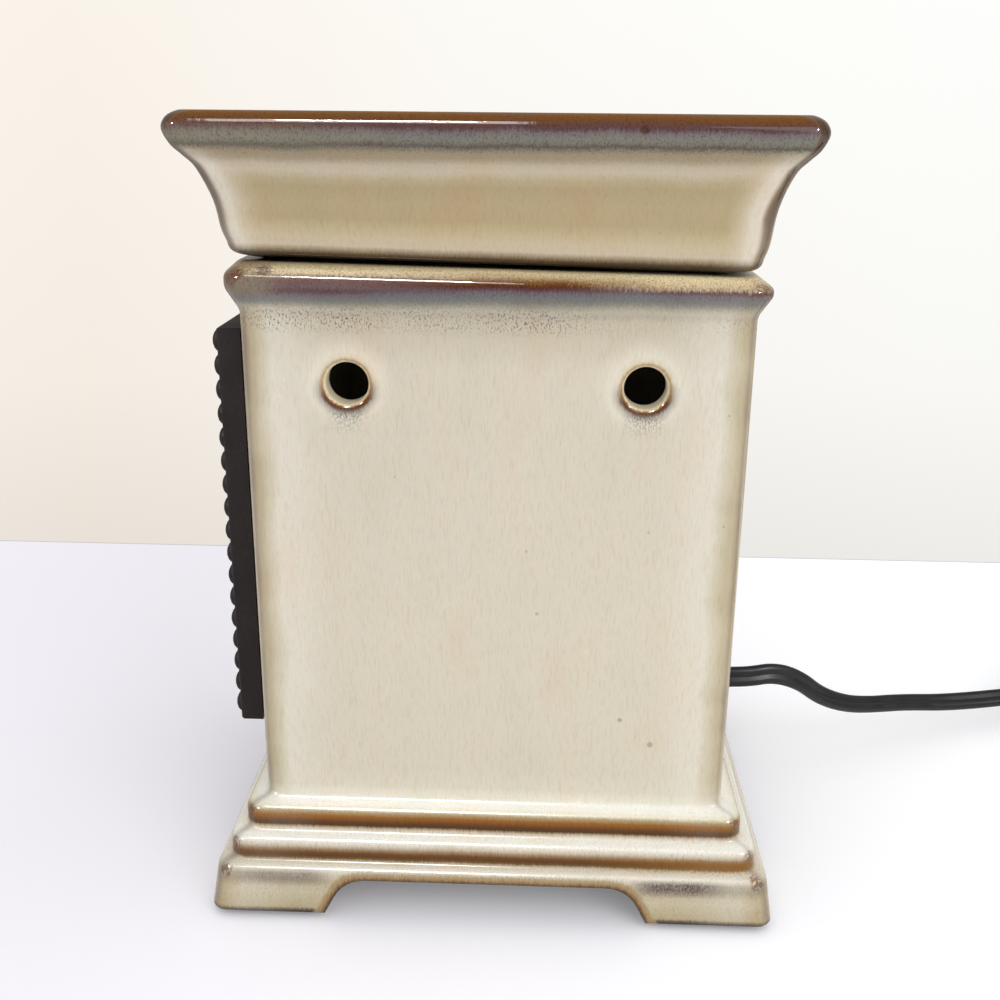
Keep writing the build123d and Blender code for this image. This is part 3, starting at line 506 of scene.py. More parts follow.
# %% [markdown]
# ### Housing
# The outline climbs the foot, two stepped ledges and the body, rolls over the rim and goes down inside.
# Everything else is cut away, as it would be from leather-hard clay: arches between the feet, vents, the
# cord's hole, the hole in the floor and pockets for the magnets. Each arch and vent flares open at the
# surface, which gives the soft lip that glaze runs off.

# %% Housing outline

FOOT_BOTTOM = 1.2
FOOT_TOP = 12.6
FOOT_HALF = 65.1
FOOT_TOP_HALF = 63.6
FLOOR_TOP = 16.5
INNER_HALF = 48.6
BODY_HALF = 53.6
RIM_START = 139.2
HOUSING_TOP = 149.0
FOOT_CORNER = 3.0
FOOT_ZONE = 12.0
BODY_CORNER = 4.5
RIM_ROUNDER = 1.0
MOUTH_TIGHTER = 0.5
WALL_MIDDLE = 50.0

# Each corner: half width, height and radius in mm
housing_outline = rounded([
    (61.5, FOOT_BOTTOM, 0), (FOOT_HALF, FOOT_BOTTOM, 1.2), (FOOT_TOP_HALF, FOOT_TOP, 1.6),
    (61.0, 13.2, 0.9), (61.0, 18.4, 1.9), (57.8, 19.2, 1.0), (57.8, 24.8, 2.3), (BODY_HALF, 25.6, 1.6),
    (BODY_HALF, RIM_START, 4.0), (56.1, 144.0, 3.5), (56.1, 146.4, 2.0), (53.2, HOUSING_TOP, 2.4),
    (47.2, HOUSING_TOP, 1.4), (47.2, 144.0, 0), (INNER_HALF, 144.0, 0), (INNER_HALF, FLOOR_TOP, 2.0),
    (44.0, FLOOR_TOP, 0)])


def housing_corner(half, height):
    """The corners are tight at the feet and grow a little rounder over the rim."""
    if height < FOOT_ZONE:
        return FOOT_CORNER + (BODY_CORNER - FOOT_CORNER) * height / FOOT_ZONE
    rise = max(0.0, height - RIM_START) / (HOUSING_TOP - RIM_START)
    return BODY_CORNER + rise * (RIM_ROUNDER if half > WALL_MIDDLE else -MOUTH_TIGHTER)


print("housing outline", len(housing_outline), "points")


# %% Arches

ARCH_TOP = 9.7
ARCH_HALF = 32.6
ARCH_SPREAD = 5.2
ARCH_ROUND = 8.0
ARCH_LIP = 1.0
ARCH_ASIDE = -1.2
LIP_STEPS = 5


def lip(reach):
    """The steps of a quarter-round lip, as (depth under the surface, how far it opens)."""
    steps = [(reach * (1 - math.sin(math.pi / 2 * step / LIP_STEPS)),
              reach * (1 - math.cos(math.pi / 2 * step / LIP_STEPS))) for step in range(LIP_STEPS + 1)]
    return steps + [(-2 * reach, reach)]


def arch_outline(open_by):
    """The arch from the front, opened all round by a lip."""
    slope = math.atan2(ARCH_SPREAD, ARCH_TOP)
    half = ARCH_HALF + open_by * (1 - math.sin(slope)) / math.cos(slope)
    top = ARCH_TOP + open_by
    low = -1.0
    spread = ARCH_SPREAD * (top - low) / ARCH_TOP
    return rounded([(-half - spread, low, 0), (-half, top, ARCH_ROUND + open_by),
                    (half, top, ARCH_ROUND + open_by), (half + spread, low, 0)])


def foot_face(height):
    """How far out the foot's sloping face is at a height."""
    share = (height - FOOT_BOTTOM) / (FOOT_TOP - FOOT_BOTTOM)
    return FOOT_HALF - (FOOT_HALF - FOOT_TOP_HALF) * share


def tunnel(mesh, rings):
    """Adds a closed tunnel through rings of places."""
    rings = [[mesh.verts.new(Vector(place) * MM) for place in ring] for ring in rings]
    count = len(rings[0])
    for ring, after in zip(rings, rings[1:]):
        for step in range(count):
            nearby = (step + 1) % count
            mesh.faces.new((ring[step], ring[nearby], after[nearby], after[step]))
    mesh.faces.new(rings[0][::-1])
    mesh.faces.new(rings[-1])


def arch_cutter(along_x):
    """One arch, cut right through from one side to the other, with a lip at each end."""
    mesh = bmesh.new()
    rings = []
    for way, steps in ((-1, lip(ARCH_LIP)[::-1]), (1, lip(ARCH_LIP))):
        for depth, open_by in steps:
            ring = [(u, way * (foot_face(z) - depth), z) for u, z in arch_outline(open_by)]
            rings.append([(y, x + ARCH_ASIDE, z) for x, y, z in ring] if along_x else ring)
    tunnel(mesh, rings)
    return finished("arch_cutter", mesh)


def round_ring(centre, radius, axis, steps=40):
    """A circle of places about a centre, square to the X, Y or Z axis."""
    places = []
    for step in range(steps):
        angle = math.tau * step / steps
        flat = [radius * math.cos(angle), radius * math.sin(angle)]
        flat.insert("XYZ".index(axis), 0.0)
        places.append(tuple(c + f for c, f in zip(centre, flat)))
    return places


# %% Vents, holes and pockets

VENT_R = 4.5
VENT_LIP = 1.2
VENT_SIDE = 31.1
VENT_HEIGHT = 124.5
CORD_HOLE_R = 4.5
CORD_HEIGHT = 32.6
CORD_HOLE_ENDS = (45.0, 56.0)
MAGNET_R = 6.1
MAGNET_SIDE = 26.0
MAGNET_UP = 30.0
MAGNET_ENDS = (-50.6, -46.0)
PLAQUE_MIDDLE = 85.75

# Each ring of the floor's hole: height and radius in mm
floor_hole = [(5.0, 31.0), (FLOOR_TOP - 0.5, 31.0), (FLOOR_TOP, 31.5), (20.0, 31.5)]
foot_hollow = [(43.5, 43.5), (54.5, 43.5), (54.5, 54.5), (43.5, 54.5)]
FOOT_HOLLOW_ENDS = (7.2, FLOOR_TOP - 0.01)


def hole_cutter():
    """The vents, the cord's hole, the floor's hole, hollows in the feet and pockets for the magnets."""
    mesh = bmesh.new()
    for side in (-VENT_SIDE, VENT_SIDE):
        rings = []
        for way, steps in ((-1, lip(VENT_LIP)[::-1]), (1, lip(VENT_LIP))):
            rings += [round_ring((way * (BODY_HALF - depth), side, VENT_HEIGHT), VENT_R + open_by, "X")
                      for depth, open_by in steps]
        tunnel(mesh, rings)
    tunnel(mesh, [round_ring((0, y, CORD_HEIGHT), CORD_HOLE_R, "Y") for y in CORD_HOLE_ENDS])
    tunnel(mesh, [round_ring((0, 0, z), radius, "Z", 72) for z, radius in floor_hole])
    for x, y in ((1, 1), (-1, 1), (-1, -1), (1, -1)):
        tunnel(mesh, [[(x * a, y * b, z) for a, b in foot_hollow] for z in FOOT_HOLLOW_ENDS])
        across, up = MAGNET_SIDE * x, PLAQUE_MIDDLE + MAGNET_UP * y
        tunnel(mesh, [round_ring((across, depth, up), MAGNET_R, "Y", 28) for depth in MAGNET_ENDS])
    return finished("hole_cutter", mesh)


def cut(piece, cutter):
    """Cuts one closed mesh out of another."""
    step = piece.modifiers.new("cut", "BOOLEAN")
    step.operation = "DIFFERENCE"
    step.solver = "EXACT"
    step.object = cutter
    shaped = piece.evaluated_get(bpy.context.evaluated_depsgraph_get())
    mesh = bpy.data.meshes.new_from_object(shaped)
    piece.modifiers.clear()
    piece.data = mesh
    bpy.data.objects.remove(cutter)


housing = finished("glazed_housing", square_loft(housing_outline, housing_corner))
for cutter in (arch_cutter(True), arch_cutter(False), hole_cutter()):
    cut(housing, cutter)
housing.data.shade_smooth()
housing.data.set_sharp_from_angle(angle=math.radians(35))
print("housing", len(housing.data.vertices), "vertices", len(housing.data.polygons), "faces")

# %% [markdown]
# ### Dish
# The dish swells out in an ogee, a curve that turns twice, to a thick rolled rim. Arcs would do for a
# plain moulding, but here the curve goes through points that were measured on the photograph's outline.
# Under it a square ring drops into the housing's mouth.

# %% Dish outline

DISH_OFF_CENTRE = -0.7

dish_outside = through([
    (48.0, 149.0), (51.2, 149.7), (53.1, 150.3), (54.1, 151.3), (54.6, 153.0), (55.35, 155.5),
    (56.3, 161.4), (58.6, 167.6), (60.6, 170.2), (62.3, 172.2), (63.45, 175.1), (62.7, 177.3),
    (60.9, 178.45), (59.5, 178.5), (58.1, 178.1), (57.2, 176.8), (56.3, 175.0), (53.1, 170.0),
    (50.4, 164.7), (49.0, 159.5), (47.5, 156.0), (44.5, 154.8)])
dish_foot = rounded([(41.4, 149.0, 0), (41.4, 145.2, 0.8), (46.4, 145.2, 0.8), (46.4, 149.0, 0)])
dish_outline = dish_foot + dish_outside


def dish_corner(half, height):
    """The corners follow the housing's mouth below and are a little rounder above it."""
    return BODY_CORNER - MOUTH_TIGHTER if height < HOUSING_TOP else BODY_CORNER


dish = finished("glazed_dish", square_loft(dish_outline, dish_corner))
print("dish", len(dish.data.vertices), "vertices")

# %% [markdown]
# ## Reactive glaze
# A reactive stoneware glaze is one cream coat whose colour follows its thickness. It runs in the kiln:
# thin on every ridge it breaks to copper brown, just below it turns plum and slate, and in each cove it
# pools to milky cream. A texture could be painted for that, but all of it follows the outline. So each
# point is told how far along the outline it lies, and one colour ramp along the outline paints every band.
# The pot also warped a little in the kiln, so its rim and the dish's foot on it lean to one side.

# %% Marks on the ceramic

INSIDE_HALF = 51.0
INSIDE_BELOW = HOUSING_TOP - 1.5
PLAIN_HEIGHT = 60.0
RIM_DROP = 0.5
RIM_LEAN = 0.0205
LEAN_FROM = 141
LEAN_FULL = 150
LEAN_FADES = 152
LEAN_GONE = 166


def lengths_along(outline):
    """The running length at each point of an outline, in mm."""
    lengths = [0.0]
    for before, here in zip(outline, outline[1:]):
        lengths.append(lengths[-1] + math.dist(before, here))
    return lengths


def run_at(outline, lengths, place):
    """How far along the outline its nearest place to (half width, height) lies."""
    best = (math.inf, 0.0)
    for before, here, start in zip(outline, outline[1:], lengths):
        dx, dz = here[0] - before[0], here[1] - before[1]
        length = dx * dx + dz * dz
        share = ((place[0] - before[0]) * dx + (place[1] - before[1]) * dz) / length if length else 0.0
        share = min(max(share, 0.0), 1.0)
        gap = (place[0] - before[0] - share * dx)**2 + (place[1] - before[1] - share * dz)**2
        if gap < best[0]:
            best = (gap, start + share * math.sqrt(length))
    return best[1]


def half_width(x, y, corner):
    """The half width of the rounded square that a place lies on."""
    x, y = abs(x), abs(y)
    if abs(x - y) >= corner:
        return max(x, y)
    return (x + y + 2 * corner - math.sqrt(2 * corner**2 - (x - y)**2)) / 2


def mark(piece, name, values):
    """Stores one number per vertex for the material to read."""
    layer = piece.data.attributes.new(name, "FLOAT", "POINT")
    layer.data.foreach_set("value", values)


def mark_glaze(piece, outline, corner_at, inside_half):
    """Marks each vertex with its length along the outline and its half width there, in mm.

    Inside the housing the glaze is plain, so its walls borrow the body's marks.
    """
    lengths = lengths_along(outline)
    runs, halves = [], []
    for vertex in piece.data.vertices:
        x, y, z = vertex.co / MM
        half = half_width(x, y, corner_at(max(abs(x), abs(y)), z))
        if half < inside_half and z < INSIDE_BELOW:
            half, z = BODY_HALF, max(z, PLAIN_HEIGHT)
        runs.append(run_at(outline, lengths, (half, z)))
        halves.append(half)
    mark(piece, "glaze_run", runs)
    mark(piece, "glaze_half", halves)
    print(piece.name, "outline in mm", round(lengths[-1], 1))


def settle(piece, aside=0.0):
    """Leans the rim and the dish's foot on it, as a pot warps in the kiln, and sets a piece aside."""
    for vertex in piece.data.vertices:
        height = vertex.co.z / MM
        rise = min(max((height - LEAN_FROM) / (LEAN_FULL - LEAN_FROM), 0), 1)
        fall = min(max((LEAN_GONE - height) / (LEAN_GONE - LEAN_FADES), 0), 1)
        share = rise**2 * (3 - 2 * rise) * fall**2 * (3 - 2 * fall)
        vertex.co.z -= share * (RIM_DROP * MM + RIM_LEAN * vertex.co.y)
        vertex.co.y += aside * MM


mark_glaze(housing, housing_outline, housing_corner, INSIDE_HALF)
mark_glaze(dish, dish_outline, dish_corner, 0.0)
settle(housing)
settle(dish, DISH_OFF_CENTRE)

# %% [markdown]
# ### The glaze's colours
# Each row is a band: its half width and height on the outline in mm, its colour, and how strongly the
# pool at the corners shows there. From the foot up it is bare clay, near black along its bottom edge as
# painted shadow under the foot, then cream, a brown edge on each ledge, a milky cove whitened further as
# painted glare, the plain body, then slate, plum and copper over the rim. Where the housing's top goes
# under the dish, and on the dish's own underside, the bands turn near black as painted shadow in the gap.
# A ramp holds no more than 32 stops, so each piece has two tables, one after the other along its outline.

# %% Bands on the housing

housing_bands = [
    # The first rows: bare clay at the foot's bottom edge, near black as painted shadow under the foot
    (62.0, 1.2, "0E0B08", 0.0), (64.7, 1.8, "15100C", 0.1), (65.0, 2.5, "6B5B43", 0.3),
    (65.0, 3.1, "B9AA88", 0.4), (64.5, 7.0, "C9BFA3", 0.5), (64.1, 9.6, "C0B499", 0.5),
    (63.8, 11.2, "D6CCB6", 0.5), (62.8, 12.6, "F4EEE0", 0.3), (61.7, 13.1, "E6DECA", 0.2),
    (61.0, 13.5, "B5A58A", 0.1), (61.0, 13.9, "74551F", 0.1), (61.0, 14.6, "573606", 0.1),
    (61.0, 15.5, "754303", 0.1), (61.0, 16.3, "9C8462", 0.1), (60.9, 17.2, "D4C8B4", 0.2),
    # The near-white rows in both coves are milky pooled glaze, whitened further as painted glare
    (60.4, 18.2, "FAF7EC", 0.1), (59.4, 18.75, "FFFFF6", 0.0), (58.5, 19.05, "FFFDF0", 0.1),
    (57.85, 19.8, "D6C9B7", 0.1), (57.8, 20.3, "A08B66", 0.1), (57.8, 20.7, "4B2F03", 0.1),
    (57.8, 21.6, "5F3500", 0.1), (57.8, 22.6, "8B5300", 0.1), (57.7, 23.2, "96631C", 0.1),
    (57.45, 24.1, "B9A47E", 0.1), (57.0, 24.7, "EFE9D2", 0.1), (56.0, 25.2, "FFFBF0", 0.1),
    (54.6, 25.5, "FFFEF6", 0.1), (53.8, 26.6, "EEE8D6", 0.3), (53.6, 29.0, "DED7C4", 0.6)]

body_bands = [
    (53.6, 29.0, "DED7C4", 0.6), (53.6, 34.0, "D9D1BD", 0.8), (53.6, 70.0, "DAD2BE", 0.8),
    (53.6, 128.0, "D7CEBB", 0.8), (53.6, 137.9, "C6BCA6", 0.7), (53.6, 139.1, "B9AF9C", 0.6),
    (53.7, 140.4, "C0B7A5", 0.5), (53.9, 141.5, "A8A290", 0.3), (54.2, 142.2, "8F8D80", 0.15),
    (54.6, 142.9, "7B7A74", 0.1), (55.1, 143.8, "717170", 0.1), (55.6, 144.6, "6B6066", 0.1),
    (55.9, 145.1, "60454F", 0.1), (56.0, 145.6, "5E3430", 0.1), (56.05, 146.0, "572B14", 0.1),
    (55.9, 146.6, "754412", 0.1), (55.4, 147.1, "8C6838", 0.1), (54.6, 147.8, "C9B48C", 0.1),
    # The last row, where the top goes in under the dish, is dark: painted shadow in the gap under the dish
    (53.8, 148.5, "EBD9AC", 0.1), (52.9, 148.95, "D8C79E", 0.1), (49.0, 149.0, "4A3B2A", 0.0)]

# %% Bands on the dish

dish_bands = [
    # The first rows, under the dish where it sits on the housing, are near black: its bare foot as painted
    # shadow
    (46.4, 148.0, "8A7A60", 0.0), (48.0, 149.0, "0E0A07", 0.0), (51.2, 149.7, "120D09", 0.0),
    (53.1, 150.3, "261B11", 0.1), (53.8, 150.9, "46341F", 0.1), (54.1, 151.4, "6E5A3E", 0.2),
    (54.35, 152.0, "9E8D70", 0.4), (54.6, 152.8, "CBBCA4", 0.7), (55.0, 154.3, "CBBB9D", 0.9),
    (55.4, 156.0, "C1B08C", 0.9), (55.8, 158.2, "B4A17A", 0.9), (56.3, 161.3, "B5A27D", 0.9),
    (57.1, 164.6, "B09F7A", 0.9), (57.9, 166.0, "B8A886", 0.9), (58.6, 167.6, "C8BBA4", 0.9),
    (59.5, 168.9, "C3B6A0", 0.8), (60.6, 170.1, "A99A7F", 0.6), (61.6, 171.2, "A09379", 0.4),
    (62.1, 171.9, "857A67", 0.2), (62.4, 172.5, "5A544A", 0.0), (62.7, 173.2, "7A7768", 0.0),
    (63.0, 173.9, "7D7C72", 0.0), (63.25, 174.5, "78746F", 0.0), (63.4, 175.1, "746668", 0.0),
    (63.35, 175.8, "5D4345", 0.0), (63.2, 176.3, "63413C", 0.0), (62.95, 176.9, "6E442A", 0.0),
    (62.6, 177.4, "74481A", 0.0), (61.7, 178.1, "7A4A05", 0.0), (60.8, 178.45, "845407", 0.0)]

dish_inside_bands = [
    (60.8, 178.45, "845407", 0.0), (59.5, 178.5, "80531A", 0.0), (58.0, 178.0, "77522A", 0.0),
    (57.0, 176.3, "8E7B68", 0.3), (55.2, 173.3, "A89F8E", 0.5), (53.1, 170.0, "C9BDA1", 0.5),
    (49.0, 159.5, "D2C8B0", 0.4), (44.5, 154.8, "DDD5C2", 0.2)]

# %% Pools and edges at the corners

# Each: mm from the corner's edge, colour, strength
housing_pool = [
    (1.3, "A9966F", 0.88), (3.2, "AF9D76", 0.80), (5.0, "CBBD9C", 0.55), (7.0, "EAE4D7", 0.60),
    (11.0, "E9E3D6", 0.50), (19.0, "E0D8C8", 0.0)]
dish_pool = [
    (1.2, "BBA98A", 0.80), (2.4, "E6DED0", 0.85), (4.6, "E8E1D3", 0.75), (7.0, "D9CDB6", 0.40),
    (10.5, "C8B999", 0.0)]
housing_edge = [(1.2, "6E5A58", 0.60), (1.9, "857063", 0.30), (2.6, "A08C70", 0.0)]
dish_edge = [(1.2, "3F2A1C", 0.95), (2.2, "5A4028", 0.80), (3.2, "8C7452", 0.0)]
print("bands", len(housing_bands) + len(body_bands), "and", len(dish_bands) + len(dish_inside_bands))

# %% [markdown]
# ### Laying the glaze
# Glaze is poured and brushed in coats, and the material is built the same way: each step lays a colour
# over the glaze so far, as thickly as a few amounts multiplied. Upright hairs and slow waves of noise
# fray every band, as running glaze does. Real crystals in such a glaze are about 0.1 mm wide, too fine to
# show, so the hairs are drawn 0.4 mm wide and the grains about 0.35 mm.

# %% Coats and bands

HAIR_WIDE = 0.4
HAIR_LONG = 1.7
WAVE_LONG = 16.0
GRAIN_WIDE_TO_TALL = 0.6
FLECK_FULL = 0.7
FLECK_GONE = 1.2


def coat(glaze, colour, *amounts):
    """Lays a colour over the glaze so far, as thickly as the amounts multiplied."""
    amount = amounts[0]
    for factor in amounts[1:]:
        amount = add(glaze.tree, "ShaderNodeMath", {0: amount, 1: factor}, operation="MULTIPLY")
    glaze.colour = add(glaze.tree, "ShaderNodeMix", {"Factor": amount, "A": glaze.colour, "B": colour},
                       data_type="RGBA")


def bands_over(tree, value, bands):
    """Bands of colour over a value in mm, each (mm, colour) or (mm, colour, alpha)."""
    low, high = bands[0][0], bands[-1][0]
    share = add(tree, "ShaderNodeMapRange", {"Value": value, "From Min": low, "From Max": high})
    stops = [((place - low) / (high - low), *rest) for place, *rest in bands]
    return add(tree, "ShaderNodeValToRGB", {"Fac": share}, stops)


def coat_bands(glaze, value, bands, *amounts):
    """Lays bands over the glaze, each as thickly as its alpha and the amounts say."""
    laid = bands_over(glaze.tree, value, bands)
    coat(glaze, laid, laid.outputs["Alpha"], *amounts)


def zone(glaze, value, places, shades=("000000", "FFFFFF", "FFFFFF", "000000")):
    """An amount that grows, holds and fades again at four places along a value in mm."""
    return bands_over(glaze.tree, value, list(zip(places, shades)))


def frayed(glaze, value, reach):
    """A value in mm, pushed to and fro by the hairs of glaze."""
    return add(glaze.tree, "ShaderNodeMath", {0: glaze.hair, 1: reach, 2: value}, operation="MULTIPLY_ADD")


def grains_of(glaze, size, low, high):
    """A scatter of fine grains, about as large as the size in mm and a little taller."""
    fineness = (1 / size, 1 / size, GRAIN_WIDE_TO_TALL / size)
    at = add(glaze.tree, "ShaderNodeVectorMath", {0: glaze.mm, 1: fineness}, operation="MULTIPLY")
    noise = add(glaze.tree, "ShaderNodeTexNoise", {"Vector": at, "Scale": 1.0, "Detail": 2.0})
    return add(glaze.tree, "ShaderNodeMapRange", {"Value": noise, "From Min": low, "From Max": high})


def fleck(glaze, centre, radius, tone, strength, place=None):
    """One round spot of iron that burnt through the glaze."""
    off = add(glaze.tree, "ShaderNodeVectorMath", {0: place or glaze.mm, 1: centre}, operation="DISTANCE")
    amount = add(glaze.tree, "ShaderNodeMapRange", {
        "Value": off.outputs["Value"], "From Min": radius * FLECK_FULL, "From Max": radius * FLECK_GONE,
        "To Min": strength, "To Max": 0.0})
    coat(glaze, linear(tone), amount)


# %% [markdown]
# ### Bands, pools and edges
# The ramp along the outline gives the level bands. Glaze also draws back from the upright corners and
# pools beside them, so a second, shorter ramp follows the distance from the corner. On the housing's rim
# the bands sit lower on one half, where the glaze ran further.

# %% The banded glaze

CALM_ON_HOUSING = (30, 135)
CALM_ON_DISH = (154, 168)
RUN_ZONE = (140, 143.5)
RUN_SIDE = -50
POOL_WAVE = 5.0
EDGE_WAVE = 2.5


def bands_along(tree, outline, bands, sway):
    """The colour ramp that paints bands along an outline."""
    lengths = lengths_along(outline)
    stops = sorted((run_at(outline, lengths, (half, height)), colour, pool)
                   for half, height, colour, pool in bands)
    return bands_over(tree, sway, stops)


def banded_glaze(name, outline, lower, upper, pool, edge, calm, off_centre=0.0, inside_edge=1.0, ran=0.0):
    """A material with the glaze's bands, its pools and its edges, ready for more coats."""
    material = bpy.data.materials.new(name)
    material.use_nodes = True
    tree = material.node_tree
    place = add(tree, "ShaderNodeTexCoord").outputs["Object"]
    mm = add(tree, "ShaderNodeVectorMath", {0: place, 1: (1 / MM, 1 / MM, 1 / MM), 2: (0, -off_centre, 0)},
             operation="MULTIPLY_ADD")
    x, y, z = add(tree, "ShaderNodeSeparateXYZ", {0: mm}).outputs
    upright = add(tree, "ShaderNodeVectorMath", {0: mm, 1: (1 / HAIR_WIDE, 1 / HAIR_WIDE, 1 / HAIR_LONG)},
                  operation="MULTIPLY")
    hairs = add(tree, "ShaderNodeTexNoise", {"Vector": upright, "Scale": 1.0, "Detail": 3.0})
    waves = add(tree, "ShaderNodeTexNoise", {"Vector": mm, "Scale": 1 / WAVE_LONG, "Detail": 2.0})
    hair = add(tree, "ShaderNodeMath", {0: hairs, 1: 0.5}, operation="SUBTRACT")
    wave = add(tree, "ShaderNodeMath", {0: waves, 1: 0.5}, operation="SUBTRACT")
    glaze = SimpleNamespace(material=material, tree=tree, mm=mm, x=x, y=y, z=z, hairs=hairs, hair=hair,
                            waves=waves)
    # The bands are ragged high up and calmer below
    fray_by, sway_by, edge_by = [
        add(tree, "ShaderNodeMapRange", {"Value": z, "From Min": calm[0], "From Max": calm[1],
                                         "To Min": quiet, "To Max": ragged})
        for quiet, ragged in ((0.7, 1.6), (0.5, 1.8), (0.75, 1.0))]
    run = add(tree, "ShaderNodeAttribute", attribute_name="glaze_run").outputs["Fac"]
    sway = add(tree, "ShaderNodeMath", {0: wave, 1: sway_by, 2: frayed(glaze, run, fray_by)},
               operation="MULTIPLY_ADD")
    on_rim = add(tree, "ShaderNodeMapRange", {"Value": z, "From Min": RUN_ZONE[0], "From Max": RUN_ZONE[1]})
    ran_down = add(tree, "ShaderNodeMapRange", {"Value": y, "From Min": 0.0, "From Max": RUN_SIDE,
                                                "To Max": ran})
    sway = add(tree, "ShaderNodeMath", {0: on_rim, 1: ran_down, 2: sway}, operation="MULTIPLY_ADD")
    # Two ramps, one after the other along the outline
    glaze.colour = low = bands_along(tree, outline, lower, sway)
    high = bands_along(tree, outline, upper, sway)
    lengths = lengths_along(outline)
    change = max(run_at(outline, lengths, band[:2]) for band in lower)
    is_high = add(tree, "ShaderNodeMath", {0: sway, 1: change}, operation="GREATER_THAN")
    coat(glaze, high, is_high)
    pool_by = add(tree, "ShaderNodeMix", {"Factor": is_high, "A": low.outputs["Alpha"],
                                          "B": high.outputs["Alpha"]})
    # The distance from the nearest upright corner's edge
    away = [add(tree, "ShaderNodeMath", {0: value}, operation="ABSOLUTE") for value in (x, y)]
    nearer = add(tree, "ShaderNodeMath", {0: away[0], 1: away[1]}, operation="MINIMUM")
    half = add(tree, "ShaderNodeAttribute", attribute_name="glaze_half").outputs["Fac"]
    gap = add(tree, "ShaderNodeMath", {0: half, 1: nearer}, operation="SUBTRACT")
    uneven, rough = [add(tree, "ShaderNodeMath", {0: wave, 1: reach, 2: gap}, operation="MULTIPLY_ADD")
                     for reach in (POOL_WAVE, EDGE_WAVE)]
    coat_bands(glaze, uneven, pool, pool_by)
    outside = add(tree, "ShaderNodeMapRange", {"Value": is_high, "To Min": 1.0, "To Max": inside_edge})
    coat_bands(glaze, rough, edge, edge_by, outside)
    return glaze


# %% [markdown]
# ### Mottle and gloss
# Close to, the cream isn't one colour: slow warm and cool clouds, fine upright streaks, grains where it
# breaks on the rim and the ledges, and now and then a dark speck. The skin over it is glass. It is glossy
# where the glaze ran thin and dark, and nearer satin where it lies thick and pale.

# %% Clouds, streaks and a glass skin

# Each: width and length in mm, detail, share, and the tints from low to high noise
cloud_rows = [
    (11, 24, 3.0, 1.0, [(0.30, "FFFAF4"), (0.46, "FFFEFC"), (0.56, "FEFEFC"), (0.70, "FBFCF8")]),
    (0.6, 3.5, 4.0, 0.42, [(0.30, "E9DFD0"), (0.50, "FFFFFF"), (0.72, "E6E6E1")])]
grain_tints = [(0.0, "C2A894"), (0.45, "FFFFFF"), (0.7, "FFFFFF"), (1.0, "DCE4EE")]
SPECK_APART = 9.0
RIPPLE_LONG = 3.5
RIPPLE_HIGH = 0.05 * MM
HAIR_HIGH = 0.012 * MM


def tint(glaze, share, value, stops):
    """Multiplies a share of the glaze's colour by a tint that follows a value."""
    hue = add(glaze.tree, "ShaderNodeValToRGB", {"Fac": value}, stops)
    glaze.colour = add(glaze.tree, "ShaderNodeMix", {"Factor": share, "A": glaze.colour, "B": hue},
                       data_type="RGBA", blend_type="MULTIPLY")


def mottle(glaze, quiet_to, busy_from):
    """Clouds and streaks all over, grains on the rim and low down, and a few dark specks."""
    tree = glaze.tree
    for wide, long, detail, share, tints in cloud_rows:
        at = add(tree, "ShaderNodeVectorMath", {0: glaze.mm, 1: (1 / wide, 1 / wide, 1 / long)},
                 operation="MULTIPLY")
        noise = add(tree, "ShaderNodeTexNoise", {"Vector": at, "Scale": 1.0, "Detail": detail})
        tint(glaze, share, noise, tints)
    on_rim, at_base = [
        add(tree, "ShaderNodeMapRange", {"Value": glaze.z, "From Min": start, "From Max": end,
                                         "To Max": most})
        for start, end, most in ((quiet_to, busy_from, 0.75), (30.0, 22.0, 0.28))]
    busy = add(tree, "ShaderNodeMath", {0: on_rim, 1: at_base}, operation="MAXIMUM")
    tint(glaze, busy, grains_of(glaze, 0.33, 0.36, 0.64), grain_tints)
    cells = add(tree, "ShaderNodeTexVoronoi", {"Vector": glaze.mm, "Scale": 1 / SPECK_APART})
    speck = add(tree, "ShaderNodeMapRange", {"Value": cells.outputs["Distance"], "From Min": 0.02,
                                             "From Max": 0.04, "To Min": 0.4, "To Max": 0.0})
    coat(glaze, linear("7D7061"), speck)


def glassy(glaze):
    """The glass skin: the slightest ripple, and a gloss that follows how dark the glaze is."""
    tree = glaze.tree
    ripple = add(tree, "ShaderNodeTexNoise", {"Vector": glaze.mm, "Scale": 1 / RIPPLE_LONG, "Detail": 2.0})
    broad = add(tree, "ShaderNodeBump", {"Height": ripple, "Distance": RIPPLE_HIGH, "Strength": 0.5})
    fine = add(tree, "ShaderNodeBump", {"Height": glaze.hairs, "Distance": HAIR_HIGH, "Strength": 0.4,
                                        "Normal": broad})
    paleness = add(tree, "ShaderNodeRGBToBW", {0: glaze.colour})
    satin = add(tree, "ShaderNodeMapRange", {"Value": paleness, "From Min": 0.15, "From Max": 0.65,
                                             "To Min": 0.05, "To Max": 0.25})
    uneven = add(tree, "ShaderNodeMapRange", {"Value": ripple, "To Min": 0.75, "To Max": 1.25})
    gloss = add(tree, "ShaderNodeMath", {0: satin, 1: uneven}, operation="MULTIPLY")
    fill(tree.nodes["Principled BSDF"], {"Base Color": glaze.colour, "Roughness": gloss, "Normal": fine,
                                         "IOR": 1.5, "Specular IOR Level": 0.36})


# %% [markdown]
# ### Vents
# A hole cut in clay has a raw lip. Glaze thins on it to gold, gathers under it to a dark drop, and leaves
# a pale halo round it. All of that follows the distance from the vent's centre, and which side is below.

# %% Glaze round the vents

